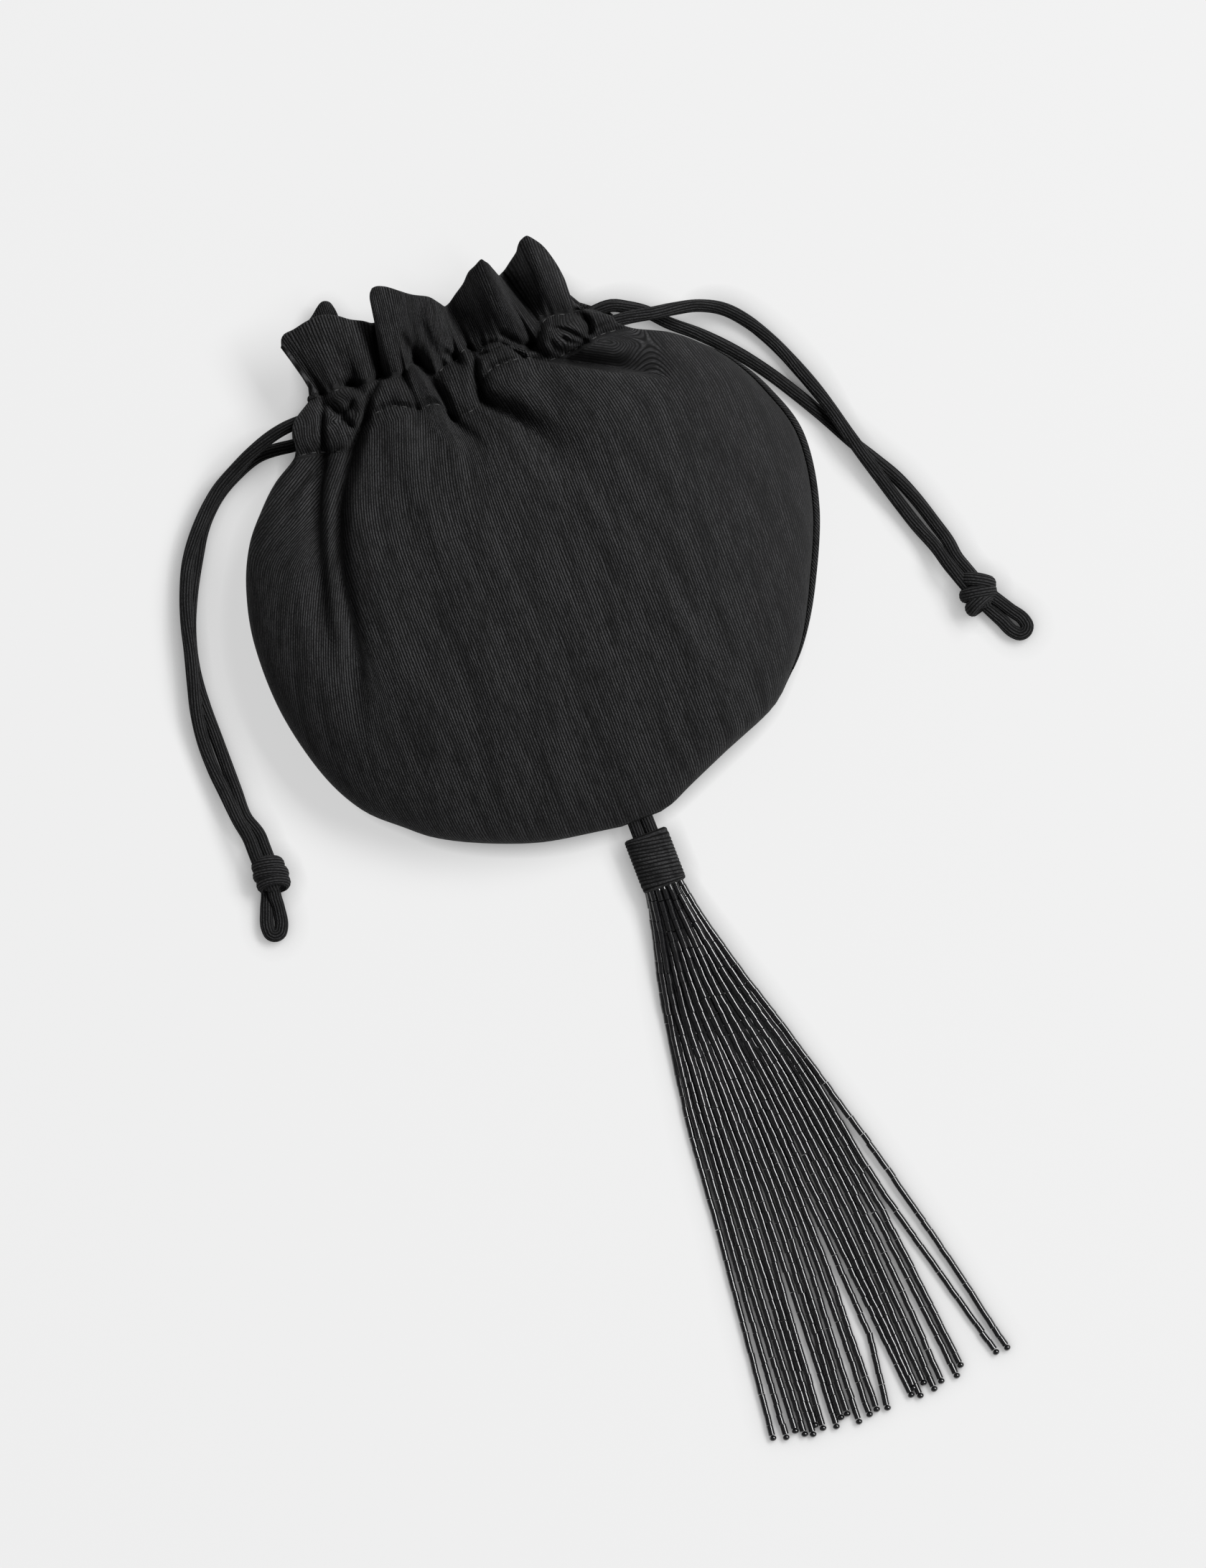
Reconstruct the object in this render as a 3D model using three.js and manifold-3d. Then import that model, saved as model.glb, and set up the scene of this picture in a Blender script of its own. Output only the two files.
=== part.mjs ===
// A drawstring pouch bag lying on its back: two ribbed cloth panels sewn together along a
// round rim, a gathered mouth with a drawstring channel and a ruffle, two doubled
// drawstrings with knots, and a tassel of bugle beads on a wound cloth head.
// Millimetres, +Z up. The bag's axis runs along Y, with the mouth at +Y.
import * as THREE from "three";
import { mergeVertices } from "three/addons/utils/BufferGeometryUtils.js";
import Module from "manifold-3d";

const wasm = await Module();
wasm.setup();
const { lerp, smoothstep, degToRad } = THREE.MathUtils;

// Driving dimensions
const CLOTH = 1.2;
const GAP = 0.3;
const CORD = 4.6;
const BEAD = 1.8;
const CENTRE = { x: -0.1, y: -108.2 };

// Resolution of the cloth walls and tubes
const FRONT_COLUMNS = 44;
const BACK_COLUMNS = 18;
const CORD_SIDES = 8;
const STRAND_SIDES = 5;

// Cross sections of the pouch, from the tassel to the upper stitch row of the channel.
// left and right are the sides, lip is how far the back panel's rolled seam shows past
// the front panel on the right, front and back are the heights of the panels' side
// edges, crown is the height of the front panel and sole of the back panel in the middle.
const SECTIONS = [
  { y: -101, left: -9, right: 8, lip: 0, front: 9, crown: 9.4, back: 9, sole: 8.6 },
  { y: -98.5, left: -20.5, right: 13.8, lip: 0, front: 9.2, crown: 14, back: 9.2, sole: 5.5 },
  { y: -95, left: -34, right: 21.7, lip: 0, front: 9.6, crown: 19, back: 9.6, sole: 2.6 },
  { y: -88, left: -53.1, right: 38.4, lip: 0, front: 10.2, crown: 26, back: 10.2, sole: 0.4 },
  { y: -80.5, left: -67.6, right: 57.2, lip: 0, front: 10.8, crown: 31, back: 10.8, sole: 0 },
  { y: -73, left: -76.8, right: 66.4, lip: 0.4, front: 11.4, crown: 34.8, back: 11.4, sole: 0 },
  { y: -62, left: -88.3, right: 76.8, lip: 1.2, front: 12, crown: 39.2, back: 12, sole: 0 },
  { y: -45, left: -96.9, right: 87.3, lip: 2.2, front: 13, crown: 44, back: 13, sole: 0 },
  { y: -20, left: -102.5, right: 98.4, lip: 2.4, front: 14, crown: 47, back: 14, sole: 0 },
  { y: 5, left: -102.6, right: 102.4, lip: 2.4, front: 14, crown: 47, back: 14, sole: 0 },
  { y: 24, left: -98.4, right: 97, lip: 2, front: 14, crown: 44.5, back: 14, sole: 0 },
  { y: 38, left: -91.8, right: 89, lip: 1, front: 14, crown: 41, back: 14, sole: 0 },
  { y: 48, left: -83.3, right: 79.5, lip: 0, front: 14, crown: 37.5, back: 14, sole: 0 },
  { y: 55, left: -75.6, right: 71, lip: 0, front: 14.4, crown: 33.5, back: 13.6, sole: 0.4 },
  { y: 60.5, left: -66.5, right: 60, lip: 0, front: 22, crown: 26, back: 4.4, sole: 1.6 },
  { y: 64.5, left: -64.5, right: 55.5, lip: 0, front: 25.5, crown: 29.5, back: 1.8, sole: 0.4 },
  { y: 68.5, left: -64, right: 54.5, lip: 0, front: 26, crown: 30, back: 1.4, sole: 0.3 },
  { y: 72.5, left: -61.5, right: 50, lip: 0, front: 25, crown: 29, back: 1.8, sole: 0.4 },
  { y: 76, left: -54.5, right: 45.5, lip: 0, front: 22.5, crown: 25.5, back: 3, sole: 1.6 },
];
const SHOULDER = 11;
const SEAM_END = 13;
const STITCH_LOW = 14;
const STITCH_TOP = SECTIONS.length - 1;

// Valley folds that run from the channel down the front panel
const FOLDS = [
  { start: [-45.5, 60], middle: [-58, 27], end: [-78, -37], width: 6, depth: 10 },
  { start: [-55.5, 59], middle: [-65, 32], end: [-79, 2], width: 5, depth: 6 },
  { start: [-61, 57], middle: [-68, 48], end: [-77, 38], width: 3.5, depth: 3 },
  { start: [1, 61], middle: [15, 44], end: [18, 20], width: 6, depth: 8 },
  { start: [34, 62], middle: [45, 50], end: [64, 43], width: 5, depth: 7 },
  { start: [-8, 58], middle: [-4, 48], end: [-3, 36], width: 5, depth: 3 },
];
const FOLD_STEPS = 16;
const FOLD_FADE = 0.7;

// Creases across the gathered channel
const CREASES = [
  { x: -50, width: 3, depth: 2 },
  { x: -40, width: 4, depth: 3 },
  { x: -13, width: 3, depth: 2.5 },
  { x: 3, width: 3, depth: 2.5 },
  { x: 23, width: 3.5, depth: 2.5 },
  { x: 38, width: 3, depth: 2 },
];
const BACK_CREASE = 0.4;

// Folds of the ruffle, from the left to the right: foot is the place on the upper stitch
// row, and x, y and z are the place on the free edge.
const FRONT_RUFFLE = [
  { foot: -54.5, x: -56, y: 99.5, z: 17 },
  { foot: -47, x: -45.5, y: 102.2, z: 28 },
  { foot: -40, x: -34, y: 102.6, z: 31 },
  { foot: -33, x: -24.5, y: 97, z: 23 },
  { foot: -27, x: -20, y: 105.8, z: 32 },
  { foot: -17, x: -8, y: 99, z: 33 },
  { foot: -6, x: 2.5, y: 90.5, z: 21 },
  { foot: 6, x: 10.5, y: 96, z: 29 },
  { foot: 17, x: 19, y: 101, z: 36 },
  { foot: 26, x: 24.5, y: 94.5, z: 24 },
  { foot: 35, x: 37.5, y: 102.6, z: 34 },
  { foot: 45.5, x: 43.5, y: 88, z: 20 },
];
const BACK_RUFFLE = [
  { foot: -54.5, x: -51, y: 91, z: 6 },
  { foot: -45, x: -44, y: 100, z: 6 },
  { foot: -37.5, x: -38, y: 107.5, z: 6 },
  { foot: -30, x: -32.5, y: 100, z: 4 },
  { foot: -19, x: -20, y: 92, z: 1 },
  { foot: -7, x: -8, y: 95, z: 6 },
  { foot: 6, x: 4, y: 86, z: 1.5 },
  { foot: 19, x: 20, y: 92, z: 6 },
  { foot: 32, x: 31, y: 89, z: 1 },
  { foot: 45.5, x: 40, y: 86, z: 6 },
];
const RUFFLE_ROWS = [0.14, 0.34, 0.56, 0.78, 1];

// Roundness of the panels: larger is boxier
const PILLOW = 2.3;
const SOLE_REACH = 1.25;
const EDGE_CROWDING = 0.55;

// The channel stretch of each drawstring: its lanes in the front and the back channel
const CHANNEL_ENDS = { left: -62, right: 52.5 };
const LANE_HEIGHTS = { frontEnd: 19.2, frontMiddle: 20.6, back: 6 };
const TURN_REACH = 9;
const CHANNEL_STEPS = 20;
const LEAD = 4;
const FREE_STEPS = 20;

// Routes of the free runs, from the end of the channel to the knot
const ROUTES = {
  left: {
    lanes: { front: 71.5, back: 65 },
    a: [
      [-70, 70.8, 18.2], [-78, 68.3, 14.8], [-87, 64.2, 10.4], [-95.2, 59.8, 8], [-105.9, 50.4, 7],
      [-113.4, 40.8, 6.6], [-118.4, 30.3, 7], [-122, 20, 7.2], [-124.6, 10, 7.2],
      [-127.4, 0, 7], [-129.9, -10, 6], [-131.3, -20, 4.4], [-131.5, -30, 4.2],
      [-130.7, -40, 5.4], [-129.8, -50, 6.8],
    ],
    b: [
      [-70, 65.6, 5.2], [-78, 65.8, 3.2], [-87, 62.8, 2.5], [-94.6, 58.8, 2.5], [-104.4, 49.8, 2.4],
      [-110.9, 39.7, 2.4], [-116.5, 29.8, 2.4], [-121, 20, 2.4], [-124.2, 10, 2.4],
      [-126, 0, 2.4], [-126.6, -10, 2.4], [-126.7, -20, 2.4], [-126.8, -30, 2.4],
      [-126.9, -40, 2.4], [-127, -50, 2.5],
    ],
    knot: { centre: [-126.6, -71.6, 6.5], heading: -6, loopHeading: -19, loopLength: 24 },
  },
  right: {
    lanes: { front: 65, back: 70.5 },
    a: [
      [60, 64.6, 18.2], [67.6, 63.2, 15.6], [76, 61.8, 11.4], [83.6, 60, 7.8], [91.8, 55.6, 4.6],
      [98, 48.6, 2.9], [102.5, 41, 2.4], [109, 25.9, 2.8], [112.9, 14.3, 5.6],
      [116.3, 1, 7.6], [119.2, -10, 7.2], [122, -20, 5.4], [124.9, -30, 3.6], [128, -40, 3.2],
      [131, -48, 5],
    ],
    b: [
      [60, 68.6, 4.6], [66, 64.6, 2.9], [72, 58.2, 2.4], [80.5, 50.7, 2.4], [89.4, 41.3, 2.4],
      [97.8, 30.2, 2.4], [105.6, 17.7, 2.4], [111.6, 6.9, 2.4], [117, -3.5, 2.4],
      [122, -12, 2.4], [126.6, -20, 2.4], [130.6, -30, 2.4], [133.6, -40, 2.4],
      [135.8, -48, 2.8],
    ],
    knot: { centre: [139.4, -68.2, 6.5], heading: 19, loopHeading: 29, loopLength: 23.5 },
  },
};

// Overhand knot: two turns of cord round a core, with short stubs that meet the free runs
const KNOT = { turn: 4.2, tilt: 16, spread: 2.3, core: 5.2, stub: 9.6 };
const PAIR = { side: 1.9, rise: 1.45 };
const LOOP_HALF_WIDTH = 2.6;
const LOOP_SIDES = 6;

// Tassel: a doubled cord tab, a wound head and strands that fan out on the floor
const TAB = {
  x: 1.6, top: -101.8, bottom: -110, topHeight: 9, bottomHeight: 6.5, halfSpread: 2.25,
};
const HEAD = { x: 0.6, top: -106, bottom: -124.4, z: 6.4, width: 16, height: 12.6, wall: 1.2 };
const CORE_TOP = -111;
const CORE_BOTTOM = -125.4;
const STRAND_ROOT = -124.8;
const STRAND_LAYERS = [0, 2, 1, 3];
const LAYER_STEP = 1.9;
const SLOT_HALF_SPREAD = 5.5;
const BOW_LEAN = 0.6;
const KINK_AT = 0.86;
const FALL_LENGTH = 95;
const STRAND_STEPS = 7;
const STRAND_PLACES = [0, 0.06, 0.2, 0.4, 0.66, KINK_AT, 1];
const FLOOR_CLEARANCE = 0.1;
const STRANDS = [
  { x: -33.2, y: -318.5, bow: -3.5, kink: 0 },
  { x: -28.7, y: -320, bow: -3.2, kink: 0 },
  { x: -25, y: -319.1, bow: -2.8, kink: 0 },
  { x: -22.4, y: -321.1, bow: -2.4, kink: 0 },
  { x: -19.6, y: -322.4, bow: -2, kink: 0 },
  { x: -16.5, y: -321.5, bow: -1.4, kink: 0 },
  { x: -11, y: -322.6, bow: -1.4, kink: 0 },
  { x: -6, y: -319.8, bow: 0.4, kink: 0 },
  { x: -3.1, y: -323.9, bow: 0.3, kink: 0 },
  { x: 1.3, y: -323, bow: 0.6, kink: 0 },
  { x: 4.2, y: -322.1, bow: 1, kink: 0 },
  { x: 7.8, y: -323, bow: 0, kink: 4.6 },
  { x: 17.3, y: -321.8, bow: 0.8, kink: 0 },
  { x: 20.2, y: -323.2, bow: 0.6, kink: 0 },
  { x: 22.8, y: -319.4, bow: 1, kink: 0 },
  { x: 25.6, y: -322.7, bow: 0.8, kink: 0 },
  { x: 28.9, y: -321.1, bow: 1, kink: 0 },
  { x: 34.6, y: -321.2, bow: 1.4, kink: 0 },
  { x: 37.2, y: -318.2, bow: 1.2, kink: 0 },
  { x: 50.5, y: -318.3, bow: 0.8, kink: 0 },
  { x: 54.7, y: -318.3, bow: 1.4, kink: 0 },
];

// Smooth curves through the columns of a table, read by row number
function splines(rows) {
  const columns = {};
  for (const name of Object.keys(rows[0])) {
    const curve = new THREE.SplineCurve(rows.map((row, i) => new THREE.Vector2(i, row[name])));
    columns[name] = (row) => curve.getPoint(row / (rows.length - 1)).y;
  }
  return columns;
}

const pouch = splines(SECTIONS);

// Height share of a rounded panel, from 0 at its sides to 1 in the middle
function pillow(across) {
  const side = Math.abs(2 * across - 1);
  return Math.pow(Math.max(0, 1 - Math.pow(side, PILLOW)), 1 / PILLOW);
}

// Columns crowd towards the sides of the pouch and follow the ruffle's folds at the mouth
function spread(share, row, ruffle) {
  const round = (1 - Math.cos(Math.PI * share)) / 2;
  const onPouch = lerp(share, round, EDGE_CROWDING);
  const left = pouch.left(STITCH_TOP);
  const foot = ruffle.foot(share * ruffle.last);
  const onMouth = (foot - left) / (pouch.right(STITCH_TOP) - left);
  return lerp(onPouch, onMouth, smoothstep(row, SHOULDER, STITCH_LOW));
}

// How far the valley folds pull the front panel down at a place
const foldCurves = FOLDS.map((fold) => {
  const line = [fold.start, fold.middle, fold.end].map((place) => new THREE.Vector2(...place));
  const places = new THREE.SplineCurve(line).getPoints(FOLD_STEPS);
  return { ...fold, places };
});

function foldDrop(x, y) {
  let drop = 0;
  const here = new THREE.Vector2(x, y);
  for (const { places, width, depth } of foldCurves) {
    let nearest = 0;
    for (let i = 1; i <= FOLD_STEPS; i += 1) {
      if (here.distanceTo(places[i]) < here.distanceTo(places[nearest])) nearest = i;
    }
    const away = here.distanceTo(places[nearest]) / width;
    const fade = Math.pow(1 - nearest / FOLD_STEPS, FOLD_FADE);
    drop += depth * fade * Math.exp(-away * away);
  }
  return drop;
}

// How deep the channel's creases are at a place across the bag
function creaseDrop(x) {
  let drop = 0;
  for (const crease of CREASES) {
    const away = (x - crease.x) / crease.width;
    drop += crease.depth * Math.exp(-away * away);
  }
  return drop;
}

// A point on the outer face of the front panel, below or on the upper stitch row
function frontPouchPoint(row, share) {
  const across = spread(share, row, frontRuffle);
  const x = lerp(pouch.left(row), pouch.right(row) - pouch.lip(row), across);
  const y = pouch.y(row);
  const arch = pillow(across);
  const mouth = smoothstep(row, SEAM_END, STITCH_LOW);
  const height = lerp(pouch.front(row) + GAP / 2, pouch.crown(row), arch);
  const drop = lerp(foldDrop(x, y) * Math.sqrt(arch), creaseDrop(x), mouth);
  return new THREE.Vector3(x, y, height - drop);
}

// A point on the outer face of the back panel, flat on the floor in the middle
function backPouchPoint(row, share) {
  const across = spread(share, row, backRuffle);
  const x = lerp(pouch.left(row), pouch.right(row), across);
  const sunk = Math.min(1, pillow(across) * SOLE_REACH);
  const mouth = smoothstep(row, SEAM_END, STITCH_LOW);
  const height = lerp(pouch.back(row) - GAP / 2, pouch.sole(row), sunk);
  return new THREE.Vector3(x, pouch.y(row), height + creaseDrop(x) * BACK_CREASE * mouth);
}

// The ruffle goes on from the upper stitch row to the free edge of its own folds
function withRuffle(pouchPoint, ruffle) {
  return (row, share) => {
    if (row <= STITCH_TOP) return pouchPoint(row, share);
    const rise = row - STITCH_TOP;
    const foot = pouchPoint(STITCH_TOP, share);
    const fold = share * ruffle.last;
    const tip = new THREE.Vector3(ruffle.x(fold), ruffle.y(fold), ruffle.z(fold));
    return foot.lerp(tip, rise);
  };
}

const frontRuffle = { ...splines(FRONT_RUFFLE), last: FRONT_RUFFLE.length - 1 };
const backRuffle = { ...splines(BACK_RUFFLE), last: BACK_RUFFLE.length - 1 };
const frontPoint = withRuffle(frontPouchPoint, frontRuffle);
const backPoint = withRuffle(backPouchPoint, backRuffle);
const PANEL_ROWS = [...SECTIONS.keys(), ...RUFFLE_ROWS.map((rise) => STITCH_TOP + rise)];

// A closed cloth wall under a grid of outer points. side is 1 where the outer face looks
// up and -1 where it looks down. The wall ends square on the seam.
function clothWall(point, columns, side) {
  const rows = PANEL_ROWS.length;
  const outer = PANEL_ROWS.map((row) =>
    Array.from({ length: columns + 1 }, (_, j) => point(row, j / columns)));
  const place = (i, j) => outer[Math.min(Math.max(i, 0), rows - 1)][Math.min(Math.max(j, 0), columns)];
  const positions = [];
  const inner = [];
  for (let i = 0; i < rows; i += 1) {
    for (let j = 0; j <= columns; j += 1) {
      const along = place(i, j + 1).clone().sub(place(i, j - 1));
      const up = place(i + 1, j).clone().sub(place(i - 1, j));
      const normal = along.cross(up).multiplyScalar(side);
      const onSeam = i === 0 || ((j === 0 || j === columns) && PANEL_ROWS[i] < SEAM_END);
      if (onSeam) normal.setZ(0);
      positions.push(...outer[i][j]);
      inner.push(...outer[i][j].clone().addScaledVector(normal.normalize(), -CLOTH));
    }
  }
  const width = columns + 1;
  const under = rows * width;
  const triangles = [];
  const quad = (a, b, c, d) => triangles.push([a, b, c], [a, c, d]);
  for (let i = 0; i + 1 < rows; i += 1) {
    for (let j = 0; j < columns; j += 1) {
      const a = i * width + j;
      quad(a, a + 1, a + 1 + width, a + width);
      quad(under + a, under + a + width, under + a + 1 + width, under + a + 1);
    }
  }
  const edge = (a, b) => quad(b, a, under + a, under + b);
  const last = (rows - 1) * width;
  for (let j = 0; j < columns; j += 1) {
    edge(j, j + 1);
    edge(last + j + 1, last + j);
  }
  for (let i = 0; i + 1 < rows; i += 1) {
    edge((i + 1) * width, i * width);
    edge(i * width + columns, (i + 1) * width + columns);
  }
  const geometry = new THREE.BufferGeometry();
  geometry.setAttribute("position", new THREE.Float32BufferAttribute([...positions, ...inner], 3));
  geometry.setIndex(triangles.flatMap(([a, b, c]) => (side > 0 ? [a, b, c] : [a, c, b])));
  geometry.computeVertexNormals();
  return geometry;
}

// A round section with a given number of flat sides
function ring(radius, sides) {
  const corners = Array.from({ length: sides }, (_, i) => {
    const angle = (2 * Math.PI * i) / sides;
    return new THREE.Vector2(radius * Math.cos(angle), radius * Math.sin(angle));
  });
  return new THREE.Shape(corners);
}

function tube(points, radius, sides, steps) {
  const extrudePath = new THREE.CatmullRomCurve3(points.map((p) => new THREE.Vector3(...p)));
  return new THREE.ExtrudeGeometry(ring(radius, sides), { steps, extrudePath });
}

// Joins closed shapes into one solid
function fused(shapes) {
  const solids = shapes.map((shape) => {
    const bare = shape.clone();
    bare.deleteAttribute("normal");
    bare.deleteAttribute("uv");
    const merged = mergeVertices(bare);
    const vertProperties = new Float32Array(merged.attributes.position.array);
    const triVerts = new Uint32Array(merged.index.array);
    return new wasm.Manifold(new wasm.Mesh({ numProp: 3, vertProperties, triVerts }));
  });
  const whole = solids.reduce((sum, solid) => sum.add(solid)).getMesh();
  const geometry = new THREE.BufferGeometry();
  geometry.setAttribute("position", new THREE.Float32BufferAttribute(whole.vertProperties, 3));
  geometry.setIndex(Array.from(whole.triVerts));
  geometry.computeVertexNormals();
  return geometry;
}

// The stretch of a drawstring inside the channels: along the front, round the far side
// and back along the back panel
function channelRun(side, { front, back }) {
  const { frontEnd, frontMiddle, back: backHeight } = LANE_HEIGHTS;
  const near = CHANNEL_ENDS[side] - Math.sign(CHANNEL_ENDS[side]) * (GAP / 2);
  const far = CHANNEL_ENDS[side === "left" ? "right" : "left"];
  const turn = far - Math.sign(far) * TURN_REACH;
  const middle = (near + turn) / 2;
  const points = [
    [near, front, frontEnd],
    [lerp(near, middle, 0.5), front, frontMiddle],
    [middle, front, frontMiddle],
    [lerp(middle, turn, 0.6), front, frontMiddle],
    [turn, front, frontEnd],
    [far - Math.sign(far) * (GAP + CORD / 2), (front + back) / 2, (frontEnd + backHeight) / 2],
    [turn, back, backHeight],
    [lerp(middle, turn, 0.6), back, backHeight],
    [middle, back, backHeight],
    [lerp(near, middle, 0.5), back, backHeight],
    [near, back, backHeight],
  ];
  return tube(points, CORD / 2, CORD_SIDES, CHANNEL_STEPS);
}

// A place in line with a knot's stub, at a given distance from the middle of the knot
function inLineWithStub({ centre, heading }, which, back) {
  const [x, y, z] = centre;
  const turn = degToRad(heading);
  const side = which === "a" ? -PAIR.side : PAIR.side;
  const rise = which === "a" ? PAIR.rise : -PAIR.rise;
  return [
    x - Math.sin(turn) * back + Math.cos(turn) * side,
    y + Math.cos(turn) * back + Math.sin(turn) * side,
    z + rise,
  ];
}

function freeRun(side, which, { lanes, knot, [which]: route }) {
  const lane = which === "a" ? lanes.front : lanes.back;
  const height = which === "a" ? LANE_HEIGHTS.frontEnd : LANE_HEIGHTS.back;
  const start = CHANNEL_ENDS[side] + Math.sign(CHANNEL_ENDS[side]) * (GAP / 2);
  const out = start + Math.sign(start) * LEAD;
  const points = [
    [start, lane, height],
    [out, lane, height],
    ...route,
    inLineWithStub(knot, which, KNOT.stub + GAP + LEAD),
    inLineWithStub(knot, which, KNOT.stub + GAP),
  ];
  return tube(points, CORD / 2, CORD_SIDES, FREE_STEPS);
}

// A knot at the origin with its cords arriving from +Y and its end loop towards -Y
function knotShape({ heading, loopHeading, loopLength }) {
  const radius = CORD / 2;
  const core = new THREE.SphereGeometry(KNOT.core, 8, 6).scale(1, 1.05, 0.95);
  const turns = [-1, 1].map((way) =>
    new THREE.TorusGeometry(KNOT.turn, radius, 6, 9)
      .rotateX(Math.PI / 2 + degToRad(KNOT.tilt) * way)
      .rotateY(degToRad(KNOT.tilt) * way)
      .translate(0, KNOT.spread * way, 0));
  const stubs = [-1, 1].map((way) =>
    tube(
      [[way * PAIR.side, 0, -way * PAIR.rise], [way * PAIR.side, KNOT.stub, -way * PAIR.rise]],
      radius, CORD_SIDES, 1));
  const half = LOOP_HALF_WIDTH;
  const end = loopLength - radius;
  const drop = radius + GAP / 2;
  const side = (x, reach) => [x, -reach, 0];
  const loop = tube(
    [
      side(half, 2), side(half, end * 0.5), side(half, end - half), side(half * 0.72, end - half * 0.3),
      side(0, end), side(-half * 0.72, end - half * 0.3), side(-half, end - half),
      side(-half, end * 0.5), side(-half, 2),
    ],
    radius, LOOP_SIDES, 14);
  loop.rotateZ(degToRad(loopHeading - heading));
  loop.translate(0, 0, drop - KNOT.turn - radius);
  return fused([core, ...turns, ...stubs, loop]);
}

// The tab is two runs of cord side by side
function tabShape() {
  const { x, top, bottom, topHeight, bottomHeight } = TAB;
  const runs = [-1, 1].map((way) => {
    const across = way * TAB.halfSpread;
    return tube([[x + across, top, topHeight], [HEAD.x + across, bottom, bottomHeight]],
      CORD / 2, CORD_SIDES, 1);
  });
  return fused(runs);
}

function oval(width, height) {
  const shape = new THREE.Shape();
  shape.absellipse(0, 0, width / 2, height / 2, 0, 2 * Math.PI);
  return shape;
}

// Turns a shape extruded along +Z so that it runs from top towards -Y
function alongBag(geometry, top) {
  return geometry.rotateX(Math.PI / 2).translate(HEAD.x, top, HEAD.z);
}

function wrapShape() {
  const sleeve = oval(HEAD.width, HEAD.height);
  sleeve.holes.push(oval(HEAD.width - 2 * HEAD.wall, HEAD.height - 2 * HEAD.wall));
  const depth = HEAD.top - HEAD.bottom;
  const settings = { depth, bevelEnabled: false, curveSegments: 12 };
  return alongBag(new THREE.ExtrudeGeometry(sleeve, settings), HEAD.top);
}

// Strands leave the core in four layers, bow a little and come down to the floor. One of
// them has caught on its neighbour and is kinked near its end.
function strandShape({ x, y, bow, kink }, i) {
  const share = i / (STRANDS.length - 1);
  const slot = HEAD.x + lerp(-SLOT_HALF_SPREAD, SLOT_HALF_SPREAD, share);
  const layer = STRAND_LAYERS[i % STRAND_LAYERS.length];
  const top = HEAD.z + (layer - (STRAND_LAYERS.length - 1) / 2) * LAYER_STEP;
  const floor = BEAD / 2 + FLOOR_CLEARANCE;
  const places = STRAND_PLACES.map((along) => {
    const away = along * (CORE_BOTTOM - y);
    const bend = bow * Math.sin(Math.PI * along ** BOW_LEAN);
    const caught = kink * Math.min(along / KINK_AT, (1 - along) / (1 - KINK_AT));
    return [
      lerp(slot, x, along) + bend + caught,
      lerp(CORE_BOTTOM, y, along),
      lerp(top, floor, smoothstep(away, 0, FALL_LENGTH)),
    ];
  });
  return tube([[slot, STRAND_ROOT, top], ...places], BEAD / 2, STRAND_SIDES, STRAND_STEPS);
}

function strandsShape() {
  const clear = 2 * (HEAD.wall + GAP);
  const depth = CORE_TOP - CORE_BOTTOM;
  const section = oval(HEAD.width - clear, HEAD.height - clear);
  const settings = { depth, bevelEnabled: false, curveSegments: 8 };
  const core = alongBag(new THREE.ExtrudeGeometry(section, settings), CORE_TOP);
  return fused([core, ...STRANDS.map(strandShape)]);
}

// Finishes
const ribbedCloth = new THREE.MeshStandardMaterial({ color: "#2b2b2c", roughness: 0.85, metalness: 0 });
const clothCord = new THREE.MeshStandardMaterial({ color: "#252526", roughness: 0.85, metalness: 0 });
const blackGlass = new THREE.MeshStandardMaterial({ color: "#0c0c0e", roughness: 0.15, metalness: 0 });

const bag = new THREE.Group();
bag.position.set(-CENTRE.x, -CENTRE.y, 0);

function add(name, geometry, material) {
  const mesh = new THREE.Mesh(geometry, material);
  mesh.name = name;
  bag.add(mesh);
  return mesh;
}

add("front_panel", clothWall(frontPoint, FRONT_COLUMNS, 1), ribbedCloth);
add("back_panel", clothWall(backPoint, BACK_COLUMNS, -1), ribbedCloth);
for (const [side, drawstring] of Object.entries(ROUTES)) {
  add(`${side}_drawstring_channel`, channelRun(side, drawstring.lanes), clothCord);
  add(`${side}_drawstring_a`, freeRun(side, "a", drawstring), clothCord);
  add(`${side}_drawstring_b`, freeRun(side, "b", drawstring), clothCord);
  const knot = add(`${side}_knot`, knotShape(drawstring.knot), clothCord);
  knot.position.set(...drawstring.knot.centre);
  knot.rotation.z = degToRad(drawstring.knot.heading);
}
add("tassel_loop", tabShape(), clothCord);
add("tassel_wrap", wrapShape(), ribbedCloth);
add("tassel_strands", strandsShape(), blackGlass);

export default bag;
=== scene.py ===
# %% [markdown]
# # A drawstring pouch bag with a bead tassel
# The bag lies on its back on a pale table and is seen from straight above. Two panels of
# black ribbed cloth are sewn together along a round rim. Two drawstrings of the same cloth
# gather the mouth into a ruffle, and a tassel of glass bugle beads hangs from the bottom.
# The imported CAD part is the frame: each of its solids is replaced here by a finer piece
# that fills the same place.

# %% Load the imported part
import math

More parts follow.
